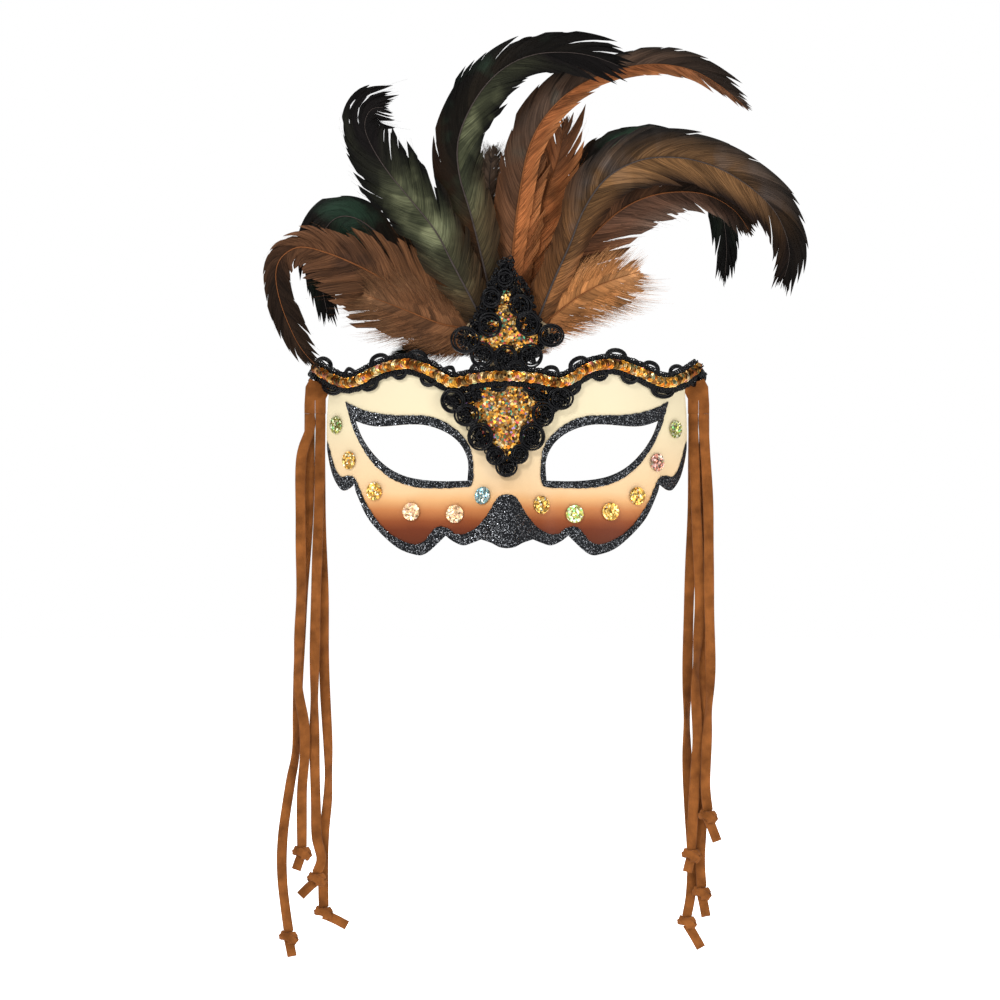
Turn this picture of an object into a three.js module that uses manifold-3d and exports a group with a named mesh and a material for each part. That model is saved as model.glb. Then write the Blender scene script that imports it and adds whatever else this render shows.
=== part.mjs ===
// Carnival eye mask with a feather crest and two suede fringes, in millimetres, +Z up.
// The mask looks along -Y. The origin is on the back of the shell at the bridge of the nose.
// Left and right are as seen from the front: left is -X.
import * as THREE from 'three';
import { mergeVertices } from 'three/addons/utils/BufferGeometryUtils.js';
import Module from 'manifold-3d';

const wasm = await Module();
wasm.setup();

// ---- driving dimensions ------------------------------------------------------------------
const SHELL_WALL = 1.6;          // moulded shell
const GAP = 0.35;                // clearance between pieces that touch
const CURL_SQUARE = 0.002;       // how the shell curls back round the face: y = a x^2 + b x^4
const CURL_FOURTH = 4.6e-7;
const NOSE_HEIGHT = 13;          // how far the nose stands forward of the cheeks
const NOSE_HALF_WIDTH = 13;
const NOSE_TOP = 8;              // height where the nose begins, and where it is fully raised
const NOSE_FULL = -30;
const SHEET_STEP = 5;            // facet size of curved sheets
const PRISM_DEPTH = 160;         // deep enough to pass through every curved sheet
const SHELL_EXTENT = [95, -50, 50];   // half width, bottom and top of the slab each sheet is cut from
const BAND_EXTENT = [95, 24, 54];
const CENTRE_EXTENT = [40, -12, 36];

const DOT_RADIUS = 4;            // holographic foil dots
const DOT_WALL = 0.4;
const DOT_LIFT = 0.6;
const DOT_SIDES = 18;
const TIE_HOLE_RADIUS = 1.6;     // elastic holes at the temples
const TIE_HOLE_AT = [81.5, 39.6];

const BRAID_HALF_WIDTH = 4.4;    // looped black braid, and the sequin band sewn along its middle
const BRAID_THICK = 2.0;
const SEQUIN_HALF_WIDTH = 2.3;
const SEQUIN_THICK = 1.3;
const BAND_STATIONS = 56;

const CLOTH_THICK = 2.4;         // padded holographic cloth panels and the scroll trim round them
const TRIM_THICK = 3.4;
const CARD_WALL = 1.2;           // card behind the crest
const PAD_WALL = 1.8;            // felt pad over the quills, and its clearance as they lean back
const PAD_CLEAR = 1.2;

const FEATHER_WALL = 0.5;        // a vane, and the pitch from one feather to the next
const FEATHER_PITCH = 0.85;
const FEATHER_SPREAD = 3.6;      // how much further apart the feathers are at the crest's rim
const FEATHER_RIM = 150;
const FAN_CENTRE_Z = 46;         // the quills fan out from here, and lean either side of this layer
const FAN_MIDDLE_LAYER = 6;
const VANE_START = 0.05;         // where along the shaft the vane begins, narrows and comes to its tip
const VANE_NARROWING = 0.35;
const VANE_TIP = 0.72;
const QUILL_WIDTH = 1.8;
const FEATHER_STEPS = 22;

const LACE_WIDTH = 4.6;          // suede laces
const LACE_THICK = 1.4;
const LACE_EDGE = 0.4;           // chamfer on the laces' edges
const LACE_STEPS = 10;
const TAIL_WIDTH = 4.37;         // the lace is drawn in where it leaves its knot
const KNOT_HALF = [3.6, 1.95, 2.6];
const TAB_TOP = 33;
const TAB_BOTTOM = 21.6;
const TAB_THICK = 3.1;           // two plies of suede, folded at the top
const TAB_Y = 36.85;

// ---- outlines, right half from the middle outwards: [x, z] ---------------------------------
const TOP_EDGE = [[0, 37.4], [13, 36.4], [25, 34.6], [36, 40.6], [47, 42.9], [58, 40], [70, 34.8],
  [79, 37], [87.6, 42.4]];
const TEMPLE_TIP = [[88.4, 39.6], [86.4, 37.4], [82.4, 36.6], [80.6, 34.4], [80.4, 30]];
const SIDE_LOBE = [[80.4, 30], [81.2, 18], [81, 4], [78.6, -6.5], [75, -12.7], [72, -13.4], [68.5, -11]];
const CHEEK_LOBE = [[68.5, -11], [67.2, -15.5], [61.5, -27], [50.5, -38], [42, -41.9], [36, -41.6],
  [27.3, -33.7]];
const SMALL_LOBE = [[27.3, -33.7], [24, -36.2], [19.5, -38], [15.5, -36.9], [11.5, -35.3]];
const NOSE_LOBE = [[11.5, -35.3], [7, -36.8], [3.5, -38.6], [0, -39.2]];
const EYE_UPPER = [[17.6, -9.2], [17.3, -1], [19.5, 5.1], [23.5, 9.8], [29.3, 13.3], [36.5, 15.5],
  [44.3, 15.8], [56, 15], [62.3, 15.7], [67.8, 17.6]];
const EYE_LOWER = [[67.8, 17.6], [64.9, 10.4], [60, 3.2], [53.5, -3], [46.3, -6.8], [38.8, -8.6],
  [29.3, -9.4], [17.6, -9.2]];
const LEFT_DOTS = [[-76.5, 16], [-70.5, 0], [-59, -14], [-42.5, -23], [-23, -24], [-10.5, -16]];
const RIGHT_DOTS = [[15, -20], [30, -24], [46, -23], [58, -16], [67, -1], [75.5, 14]];

// panels of the crest: the cloth, and the outside of the scroll trim round it
const CREST_CLOTH = [[0, 70], [5, 62], [11, 55], [9.5, 47], [0, 45.6]];
const CREST_TRIM = [[0, 86], [7.5, 80], [10, 69], [22, 62], [25, 53], [19, 45.5], [0, 45.2]];
const CENTRE_CLOTH = [[0, 29.4], [16, 26.6], [14, 20], [8.5, 12], [0, 5]];
const CENTRE_TRIM = [[0, 32.2], [14, 31], [25.5, 28.6], [26.5, 22], [20, 16], [15, 6], [8, -2], [0, -6.5]];
const CARD = [[0, 83], [7, 76], [9, 66], [18, 60], [19, 51], [10, 45.5], [8.5, 36], [0, 29]];
const PAD = [[0, 68], [14, 66], [17, 56], [14, 46], [0, 44]];

// feathers, front one first: the shaft's route from the quill, the widest the vane gets, how far
// along that is, and the share of it that the vane keeps beyond
const FEATHERS = [
  { name: 'left_green', width: 32, peak: 0.42, tail: 0.75, colour: 0x1f2a20,
    route: [[-5, 46], [-12, 64], [-24, 87], [-32, 102], [-44, 117], [-53, 128], [-60, 139], [-63, 148],
      [-60, 155], [-53, 156]] },
  { name: 'right_bronze_arc', width: 24, peak: 0.42, tail: 0.75, colour: 0x6b4a26,
    route: [[7, 46], [14, 63], [20, 78], [28, 96], [34, 111], [44, 125], [59, 133], [76, 134],
      [92, 130], [106, 122], [117, 112], [123, 101], [125, 90], [122, 78]] },
  { name: 'right_fluff', width: 26, peak: 0.5, tail: 0.7, colour: 0x6b4423,
    route: [[7, 47], [12, 56], [24, 67], [39, 77], [59, 84]] },
  { name: 'top_green_arc', width: 24, peak: 0.35, tail: 0.8, colour: 0x24302a,
    route: [[-2, 46], [-5, 63], [-10, 85], [-16, 109], [-21, 126], [-22, 140], [-18, 153], [-10, 166],
      [0, 175], [12, 180], [26, 181], [39, 179], [52, 174]] },
  { name: 'left_fluff', width: 26, peak: 0.45, tail: 0.7, colour: 0x5a4030,
    route: [[-7, 47], [-14, 57], [-30, 61], [-48, 68], [-64, 74]] },
  { name: 'left_long_arc', width: 32, peak: 0.24, tail: 0.36, colour: 0x5c3a1d,
    route: [[-9, 46], [-14, 57], [-30, 68], [-49, 77], [-63, 85], [-79, 92], [-92, 95], [-100, 91],
      [-103, 84], [-102, 74], [-98, 62], [-92, 50], [-84, 41]] },
  { name: 'right_brown_low', width: 34, peak: 0.38, tail: 0.5, colour: 0x7a4a22,
    route: [[8, 46], [13, 62], [24, 82], [38, 100], [53, 113], [69, 119], [87, 119], [101, 112],
      [109, 101]] },
  { name: 'right_long_arc', width: 17, peak: 0.35, tail: 0.65, colour: 0x7a4420,
    route: [[3, 46], [1, 63], [2, 85], [4, 107], [7, 127], [10, 140], [16, 152], [26, 163], [39, 171],
      [55, 176], [70, 177], [84, 174], [96, 167], [108, 157]] },
  { name: 'orange_centre', width: 24, peak: 0.45, tail: 0.8, colour: 0x8a4a1e,
    route: [[2, 46], [2, 62], [3, 89], [6, 114], [11, 134]] },
  { name: 'left_black_arc', width: 22, peak: 0.5, tail: 0.6, colour: 0x3a2a1e,
    route: [[-7, 46], [-14, 60], [-25, 71], [-36, 81], [-47, 92], [-57, 101], [-67, 108], [-75, 109],
      [-81, 104], [-84, 94], [-83, 79], [-80, 64]] },
  { name: 'orange_upright', width: 27, peak: 0.5, tail: 0.8, colour: 0x8a4a1e,
    route: [[4, 46], [5, 62], [10, 93], [17, 118], [23, 136], [26, 153]] },
  { name: 'grey_down', width: 22, peak: 0.5, tail: 0.8, colour: 0x4a4038,
    route: [[0, 46], [-3, 63], [-5, 93], [-8, 120], [-6, 142]] },
  { name: 'left_dark_short', width: 24, peak: 0.5, tail: 0.8, colour: 0x2a211a,
    route: [[-8, 46], [-12, 61], [-22, 76], [-33, 86], [-43, 91]] },
  { name: 'left_low_dark', width: 12, peak: 0.5, tail: 0.7, colour: 0x2a211a,
    route: [[-9, 45], [-16, 50], [-28, 52], [-40, 50], [-52, 45]] },
  { name: 'right_black_arc', width: 22, peak: 0.45, tail: 0.6, colour: 0x2b2018,
    route: [[5, 46], [10, 63], [18, 93], [29, 120], [43, 136], [58, 141], [74, 138], [88, 129],
      [96, 115], [99, 98], [98, 80]] },
];

// suede laces: x and z down each route, y where it leaves the tab and where it hangs, and the
// way the tail points below its knot
const FRONT_PLY = 36;
const BACK_PLY = 37.7;
const LEFT_LACES = [
  { route: [[-89.1, 21.2], [-89.1, 14], [-93, 0], [-93.2, -31], [-93, -62], [-94.6, -98], [-91.6, -119],
    [-91.4, -134], [-92.6, -150], [-92.6, -174.4]], from: FRONT_PLY, hang: 34, tail: [-2.6, -7.5] },
  { route: [[-89.3, 21.2], [-89.3, 14], [-89.6, -20], [-92.4, -62], [-94.4, -98], [-95.4, -130],
    [-98, -146], [-101.4, -170], [-101.6, -190],
    [-98.8, -213]], from: BACK_PLY, hang: 37.9, tail: [1.6, -8.4] },
  { route: [[-84.3, 21.2], [-84.3, 14], [-85, -20], [-86.4, -62], [-87, -98], [-87, -130],
    [-86.4, -155], [-86, -170], [-83.9, -180],
    [-86, -186.4]], from: FRONT_PLY, hang: 35.9, tail: [-7.4, -7.4] },
  { route: [[-84.4, 21.2], [-84.4, 14], [-84.4, -20], [-83, -62], [-82.6, -98], [-81, -130],
    [-81, -150], [-82.6, -168], [-83.2, -186],
    [-83, -202]], from: BACK_PLY, hang: 39.9, tail: [10.6, -5.6] },
];
const RIGHT_LACES = [
  { route: [[84.4, 21.2], [84.4, 14], [84.2, -20], [82.6, -62], [81.8, -98], [81.6, -130], [82.6, -158],
    [84, -180], [83.4, -196], [81.6, -206.4]], from: BACK_PLY, hang: 41, tail: [6.4, -11.4] },
  { route: [[84.3, 21.2], [84.3, 14], [85.6, -20], [87.2, -62], [86.2, -84], [85.2, -102], [86.2, -124],
    [85.2, -141], [84.2, -160], [83.4, -175.6]], from: FRONT_PLY, hang: 35.8, tail: [-1.8, -7.4] },
  { route: [[89.1, 21.2], [89.1, 14], [91, -20], [91.4, -62], [92, -96], [90.8, -119], [90, -136],
    [89.8, -148], [90.8, -158]], from: FRONT_PLY, hang: 34, tail: [4.2, -11] },
  { route: [[89.3, 21.2], [89.3, 14], [89.3, -20], [89.6, -62], [89, -98], [88.2, -130], [88.4, -160],
    [87.6, -180], [88.2, -193]], from: BACK_PLY, hang: 38.7, tail: [2, -10.4] },
];

const SUEDE = 0x8a4f1c;

// ---- solids ---------------------------------------------------------------------------------
const group = new THREE.Group();

function addMesh(name, geometry, colour, roughness, metalness = 0) {
  const material = new THREE.MeshStandardMaterial({ color: colour, roughness, metalness });
  const mesh = new THREE.Mesh(geometry, material);
  mesh.name = name;
  group.add(mesh);
  return mesh;
}

function toSolid(geometry) {
  const bare = geometry.clone();
  bare.deleteAttribute('normal');
  bare.deleteAttribute('uv');
  const merged = mergeVertices(bare, 1e-4);
  return new wasm.Manifold(new wasm.Mesh({
    numProp: 3,
    vertProperties: new Float32Array(merged.attributes.position.array),
    triVerts: new Uint32Array(merged.index.array),
  }));
}

function toGeometry(solid) {
  const mesh = solid.getMesh();
  const geometry = new THREE.BufferGeometry();
  geometry.setAttribute('position', new THREE.BufferAttribute(mesh.vertProperties, 3));
  geometry.setIndex(new THREE.BufferAttribute(mesh.triVerts, 1));
  geometry.computeVertexNormals();
  return geometry;
}

// y of the shell's front face at x, z
function shellFront(x, z) {
  const curl = CURL_SQUARE * x ** 2 + CURL_FOURTH * x ** 4;
  const rise = 1 - THREE.MathUtils.smoothstep(z, NOSE_FULL, NOSE_TOP);
  const nose = NOSE_HEIGHT * rise * Math.exp(-((x / NOSE_HALF_WIDTH) ** 2));
  return curl - nose - SHELL_WALL;
}

// a slab that follows the shell's front face, from `near` to `far` in front of it
function curvedSlab(halfWidth, low, high, near, far) {
  const columns = Math.ceil(2 * halfWidth / SHEET_STEP);
  const rows = Math.ceil((high - low) / SHEET_STEP);
  const slab = new THREE.BoxGeometry(2 * halfWidth, 2, high - low, columns, 1, rows);
  slab.translate(0, 0, (low + high) / 2);
  const points = slab.attributes.position;
  for (let i = 0; i < points.count; i += 1) {
    const offset = points.getY(i) < 0 ? far : near;
    points.setY(i, shellFront(points.getX(i), points.getZ(i)) - offset);
  }
  return toSolid(slab);
}

const asVectors = (list) => list.map(([x, z]) => new THREE.Vector2(x, z));
const mirrored = (list) => list.map(([x, z]) => [-x, z]).reverse();

// an outline made of smooth stretches that meet at corners
function outline(stretches) {
  const shape = new THREE.Shape();
  shape.moveTo(...stretches[0][0]);
  for (const stretch of stretches) {
    shape.splineThru(asVectors(stretch.slice(1)));
  }
  return shape;
}

// the outline carried straight through along Y, between two depths
function prism(shape, back = PRISM_DEPTH / 2, depth = PRISM_DEPTH, curveSegments = 3) {
  const geometry = new THREE.ExtrudeGeometry(shape, { depth, bevelEnabled: false, curveSegments });
  geometry.rotateX(Math.PI / 2);
  geometry.translate(0, back, 0);
  return toSolid(geometry);
}

// a symmetric panel from the points of its right half
const panel = (half) => outline([half, mirrored(half)]);

// ---- shell ------------------------------------------------------------------------------------
function makeShell() {
  const half = [TOP_EDGE, [TOP_EDGE.at(-1), ...TEMPLE_TIP], SIDE_LOBE, CHEEK_LOBE, SMALL_LOBE, NOSE_LOBE];
  const shape = outline([...half, ...half.map(mirrored).reverse()]);
  let solid = curvedSlab(...SHELL_EXTENT, -SHELL_WALL, 0).intersect(prism(shape));
  for (const side of [-1, 1]) {
    const eye = outline([EYE_UPPER, EYE_LOWER].map((list) => list.map(([x, z]) => [side * x, z])));
    const [holeX, holeZ] = TIE_HOLE_AT;
    const hole = new THREE.Shape().absarc(side * holeX, holeZ, TIE_HOLE_RADIUS, 0, 2 * Math.PI);
    solid = solid.subtract(prism(eye)).subtract(prism(hole));
  }
  addMesh('mask_shell', toGeometry(solid), 0xe8d2a0, 0.45);
}

// flat foil discs that lie on the shell, square to its face
function makeDots() {
  for (const [side, dots] of [['left', LEFT_DOTS], ['right', RIGHT_DOTS]]) {
    dots.forEach(([x, z], i) => {
      const geometry = new THREE.CylinderGeometry(DOT_RADIUS, DOT_RADIUS, DOT_WALL, DOT_SIDES);
      const slopeX = shellFront(x + 0.5, z) - shellFront(x - 0.5, z);
      const slopeZ = shellFront(x, z + 0.5) - shellFront(x, z - 0.5);
      const outward = new THREE.Vector3(slopeX, -1, slopeZ).normalize();
      const dot = addMesh(`foil_dot_${side}_${i + 1}`, geometry, 0xd8a838, 0.25, 0.8);
      dot.quaternion.setFromUnitVectors(new THREE.Vector3(0, 1, 0), outward);
      dot.position.set(x, shellFront(x, z), z).addScaledVector(outward, DOT_LIFT + DOT_WALL / 2);
    });
  }
}

// ---- braid and sequin band along the top edge -----------------------------------------------------
function bandShape(halfWidth) {
  const edge = new THREE.SplineCurve(asVectors([...mirrored(TOP_EDGE).slice(0, -1), ...TOP_EDGE]));
  const stations = edge.getPoints(BAND_STATIONS);
  const upper = [];
  const lower = [];
  stations.forEach((point, i) => {
    const along = edge.getTangent(i / BAND_STATIONS);
    upper.push(new THREE.Vector2(point.x - along.y * halfWidth, point.y + along.x * halfWidth));
    lower.push(new THREE.Vector2(point.x + along.y * halfWidth, point.y - along.x * halfWidth));
  });
  return new THREE.Shape([...lower, ...upper.reverse()]);
}

function makeBands() {
  const braidNear = GAP;
  const sequinNear = braidNear + BRAID_THICK + GAP;
  const braid = curvedSlab(...BAND_EXTENT, braidNear, braidNear + BRAID_THICK)
    .intersect(prism(bandShape(BRAID_HALF_WIDTH)));
  const sequins = curvedSlab(...BAND_EXTENT, sequinNear, sequinNear + SEQUIN_THICK)
    .intersect(prism(bandShape(SEQUIN_HALF_WIDTH)));
  addMesh('looped_braid', toGeometry(braid), 0x0c0c0e, 0.6);
  addMesh('sequin_band', toGeometry(sequins), 0xc89a3c, 0.25, 0.8);
}

// ---- crest panels ----------------------------------------------------------------------------------
function grown(half, by) {
  const middle = new THREE.Vector2(0, (half[0][1] + half.at(-1)[1]) / 2);
  return half.map(([x, z]) => {
    const out = new THREE.Vector2(x, z).sub(middle);
    out.setLength(out.length() + by);
    return [out.x, middle.y + out.y];
  });
}

function makePanels() {
  const lower = prism(panel(CENTRE_TRIM)).subtract(prism(panel(grown(CENTRE_CLOTH, GAP))));
  const lowerTrim = curvedSlab(...CENTRE_EXTENT, GAP, GAP + TRIM_THICK).intersect(lower);
  const lowerCloth = curvedSlab(...CENTRE_EXTENT, GAP, GAP + CLOTH_THICK)
    .intersect(prism(panel(CENTRE_CLOTH)));
  addMesh('centre_trim', toGeometry(lowerTrim), 0x0c0c0e, 0.6);
  addMesh('centre_cloth', toGeometry(lowerCloth), 0xd8a838, 0.3, 0.7);

  const upperTrim = prism(panel(CREST_TRIM), 0, TRIM_THICK)
    .subtract(prism(panel(grown(CREST_CLOTH, GAP)), 1, TRIM_THICK + 2));
  addMesh('crest_trim', toGeometry(upperTrim), 0x0c0c0e, 0.6);
  addMesh('crest_cloth', toGeometry(prism(panel(CREST_CLOTH), 0, CLOTH_THICK)), 0xd8a838, 0.3, 0.7);
  addMesh('crest_card', toGeometry(prism(panel(CARD), GAP + CARD_WALL, CARD_WALL)), 0x6b5540, 0.9);

  const padBack = GAP + CARD_WALL + GAP + FEATHERS.length * FEATHER_PITCH + PAD_CLEAR + PAD_WALL;
  addMesh('quill_pad', toGeometry(prism(panel(PAD), padBack, PAD_WALL)), 0x1a1a1a, 0.95);
}

// ---- feathers ----------------------------------------------------------------------------------------
// every feather lies in its own layer, and the layers open out away from the quills
function layerY(layer, x, z) {
  const reach = Math.hypot(x, z - FAN_CENTRE_Z) / FEATHER_RIM;
  const spread = FEATHER_SPREAD * reach ** 2;
  const front = GAP + CARD_WALL + GAP + FEATHER_PITCH / 2;
  return front + layer * FEATHER_PITCH + (layer - FAN_MIDDLE_LAYER) * spread;
}

function vaneWidth(t, { width, peak, tail }) {
  const swell = THREE.MathUtils.smoothstep(t, VANE_START, peak);
  const narrowing = 1 - (1 - tail) * THREE.MathUtils.smoothstep(t, peak, peak + VANE_NARROWING);
  const point = Math.sqrt(1 - THREE.MathUtils.smoothstep(t, VANE_TIP, 1));
  return Math.max(QUILL_WIDTH, width * swell * narrowing * point);
}

function makeFeather(feather, layer) {
  const shaft = new THREE.SplineCurve(asVectors(feather.route));
  const geometry = new THREE.BoxGeometry(1, 2, 1, FEATHER_STEPS, 1, 2);
  const points = geometry.attributes.position;
  for (let i = 0; i < points.count; i += 1) {
    const t = points.getX(i) + 0.5;
    const across = points.getZ(i) * vaneWidth(t, feather);
    const centre = shaft.getPointAt(t);
    const along = shaft.getTangentAt(t);
    const x = centre.x - along.y * across;
    const z = centre.y + along.x * across;
    points.setXYZ(i, x, layerY(layer, x, z) + points.getY(i) * FEATHER_WALL / 2, z);
  }
  addMesh(`feather_${feather.name}`, toGeometry(toSolid(geometry)), feather.colour, 0.7);
}

// ---- fringes --------------------------------------------------------------------------------------------
function makeTab(side, sign) {
  const shape = new THREE.Shape(asVectors([[81.9, TAB_TOP], [91.6, TAB_TOP], [91.4, TAB_BOTTOM],
    [82, TAB_BOTTOM]]
    .map(([x, z]) => [sign * x, z])));
  addMesh(`${side}_fringe_tab`, toGeometry(prism(shape, TAB_Y + TAB_THICK / 2, TAB_THICK)), SUEDE, 0.95);
}

// a lace comes straight down out of its ply of the tab, then hangs in its own plane
function laceCurve({ route, from, hang }) {
  return new THREE.CatmullRomCurve3(route.map(([x, z], i) => new THREE.Vector3(x, i < 2 ? from : hang, z)));
}

function makeLace(name, lace) {
  const path = laceCurve(lace);
  const half = new THREE.Vector2(LACE_WIDTH / 2, LACE_THICK / 2);
  const points = [
    [half.x - LACE_EDGE, -half.y], [half.x, -half.y + LACE_EDGE], [half.x, half.y - LACE_EDGE],
    [half.x - LACE_EDGE, half.y], [-half.x + LACE_EDGE, half.y], [-half.x, half.y - LACE_EDGE],
    [-half.x, -half.y + LACE_EDGE], [-half.x + LACE_EDGE, -half.y],
  ];
  // the section's own x runs along the curve's normal, so the flat is turned to face -Y
  const normal = path.computeFrenetFrames(LACE_STEPS).normals[0];
  const turned = Math.abs(normal.y) > Math.abs(normal.x) ? points.map(([x, y]) => [y, x]) : points;
  const section = new THREE.Shape(asVectors(turned));
  const geometry = new THREE.ExtrudeGeometry(section, { steps: LACE_STEPS, extrudePath: path });
  addMesh(name, toGeometry(toSolid(geometry)), SUEDE, 0.95);
}

function makeKnot(name, { route, hang, tail }) {
  const [x, z] = route.at(-1);
  const ball = new THREE.SphereGeometry(1, 12, 8);
  ball.scale(...KNOT_HALF);
  const direction = new THREE.Vector2(...tail);
  const strip = new THREE.BoxGeometry(TAIL_WIDTH, LACE_THICK, direction.length());
  strip.translate(0, 0, -direction.length() / 2);
  strip.rotateY(-Math.atan2(tail[0], -tail[1]));
  const knot = toSolid(ball).add(toSolid(strip));
  addMesh(name, toGeometry(knot), SUEDE, 0.95).position.set(x, hang, z - KNOT_HALF[2] - GAP);
}

makeShell();
makeDots();
makeBands();
makePanels();
FEATHERS.forEach(makeFeather);
for (const [side, sign, laces] of [['left', -1, LEFT_LACES], ['right', 1, RIGHT_LACES]]) {
  makeTab(side, sign);
  laces.forEach((lace, i) => {
    makeLace(`${side}_lace_${i + 1}`, lace);
    makeKnot(`${side}_knot_${i + 1}`, lace);
  });
}

export default group;
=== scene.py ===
# %% [markdown]
# # A carnival eye mask
# The mask is a thin moulded shell that curls round the face. Glitter paint edges it, foil dots
# lie on the cheeks, a looped braid with sequins runs along the top, and a trimmed crest holds a
# fan of rooster feathers. A suede fringe hangs at each temple. The shapes follow the packed
# frame, in metres, and only the surfaces are made finer here.

# %% Load the frame
import bisect
import math
import random

import bmesh
import bpy
from mathutils import Matrix, Vector


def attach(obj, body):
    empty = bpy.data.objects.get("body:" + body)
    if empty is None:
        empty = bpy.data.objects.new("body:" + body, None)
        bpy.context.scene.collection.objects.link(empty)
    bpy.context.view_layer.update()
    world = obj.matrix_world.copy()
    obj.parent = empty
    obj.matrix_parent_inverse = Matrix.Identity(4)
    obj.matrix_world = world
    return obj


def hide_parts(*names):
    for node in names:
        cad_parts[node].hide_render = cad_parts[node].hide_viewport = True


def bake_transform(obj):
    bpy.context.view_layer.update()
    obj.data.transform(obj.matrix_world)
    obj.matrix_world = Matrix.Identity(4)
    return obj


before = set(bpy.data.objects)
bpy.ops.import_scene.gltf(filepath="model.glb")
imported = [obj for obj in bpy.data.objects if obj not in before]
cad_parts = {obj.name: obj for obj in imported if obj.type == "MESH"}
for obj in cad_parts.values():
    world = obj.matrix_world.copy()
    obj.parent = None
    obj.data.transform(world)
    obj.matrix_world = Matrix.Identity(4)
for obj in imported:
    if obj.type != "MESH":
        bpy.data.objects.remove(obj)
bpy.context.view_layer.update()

MM = 0.001

# %% [markdown]
# ## Smooth lines
# Outlines, feather shafts and laces are all smooth lines through a few points. A Catmull-Rom
# curve passes through every point, which is what a maker's pencil line does, so one small class
# serves them all. It is read by the share of its length.

# %% A smooth line through a few points
def catmull(before, start, end, after, t):
    leave = (end - before) / 2
    arrive = (after - start) / 2
    return ((2 * start - 2 * end + leave + arrive) * t ** 3
            + (3 * end - 3 * start - 2 * leave - arrive) * t ** 2 + leave * t + start)


def smooth(points, pieces=12):
    """Points close together on the smooth line through `points`."""
    knots = [Vector(point) for point in points]
    line = []
    for i in range(len(knots) - 1):
        before, after = knots[max(i - 1, 0)], knots[min(i + 2, len(knots) - 1)]
        line += [catmull(before, knots[i], knots[i + 1], after, k / pieces) for k in range(pieces)]
    return line + [knots[-1]]


class Route:
    """A smooth line, read by the share of its length; it runs on straight past its ends."""

    def __init__(self, points, pieces=12):
        self.points = smooth(points, pieces)
        self.reach = [0.0]
        for a, b in zip(self.points, self.points[1:]):
            self.reach.append(self.reach[-1] + (b - a).length)
        self.length = self.reach[-1]

    def at(self, share):
        target = share * self.length
        i = min(max(bisect.bisect_right(self.reach, target), 1), len(self.points) - 1)
        a, b = self.points[i - 1], self.points[i]
        return a.lerp(b, (target - self.reach[i - 1]) / (self.reach[i] - self.reach[i - 1]))

    def along(self, share):
        half = 0.01
        return (self.at(share + half) - self.at(share - half)).normalized()


def ease(value, low, high):
    t = min(max((value - low) / (high - low), 0), 1)
    return t * t * (3 - 2 * t)


# %% [markdown]
# ## Making objects
# Every piece is made with bmesh operators, handed to an object at the origin, and rides on a
# body of the frame; the laces are only baked in place and ride on none. Two helpers keep that in
# one place.

# %% Objects, bodies and slots
def place(piece, body, finish, replaced=(), bend=None):
    """Link a piece, give it its finish, and let it ride on a body; with `bend` it is only baked in place
    and rides on no body.
    """
    bpy.context.scene.collection.objects.link(piece)
    piece.data.materials.append(finish)
    if bend:
        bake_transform(piece)
    else:
        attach(piece, body)
    if replaced:
        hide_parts(*replaced)
    return piece


def extruded(work, faces):
    """Extrude faces, keep the old ones as the far side, and return the new vertices."""
    raised = bmesh.ops.extrude_face_region(work, geom=faces, use_keep_orig=True)["geom"]
    return [item for item in raised if isinstance(item, bmesh.types.BMVert)]


def to_object(name, work, smooth_angle=40):
    mesh = bpy.data.meshes.new(name)
    work.to_mesh(mesh)
    work.free()
    mesh.shade_smooth()
    mesh.set_sharp_from_angle(angle=math.radians(smooth_angle))
    return bpy.data.objects.new(name, mesh)


def cord_object(name, strands, radius, sides=2, taper=None):
    """Round cords of one thickness along lists of points in millimetres."""
    curve = bpy.data.curves.new(name, "CURVE")
    curve.dimensions = "3D"
    curve.bevel_depth = radius * MM
    curve.bevel_resolution = sides
    curve.use_fill_caps = True
    for strand in strands:
        line = curve.splines.new("POLY")
        line.points.add(len(strand) - 1)
        for i, (point, target) in enumerate(zip(line.points, strand)):
            point.co = (*(Vector(target) * MM), 1)
            point.radius = taper(i / (len(strand) - 1)) if taper else 1
        line.use_smooth = True
    return bpy.data.objects.new(name, curve)


# %% [markdown]
# ## Finishes as sums
# A finish is a small tree of nodes. Written as Python sums it reads like the idea behind it:
# `1 - mask`, `base + 0.2 * grain`. One class wraps a socket and adds the Math nodes, and one
# method makes every other node.

# %% Sums of sockets
class Wire:
    """A node's output that can be used in a sum."""

    def __init__(self, kit, socket):
        self.kit, self.socket = kit, socket

    def math(self, operation, *values):
        return self.kit.node("ShaderNodeMath", {"operation": operation}, dict(enumerate(values)))

    def __add__(self, other):
        return self.math("ADD", self, other)

    def __sub__(self, other):
        return self.math("SUBTRACT", self, other)

    def __rsub__(self, other):
        return self.math("SUBTRACT", other, self)

    def __mul__(self, other):
        return self.math("MULTIPLY", self, other)

    def __gt__(self, other):
        return self.math("GREATER_THAN", self, other)

    __radd__, __rmul__ = __add__, __mul__


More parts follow.
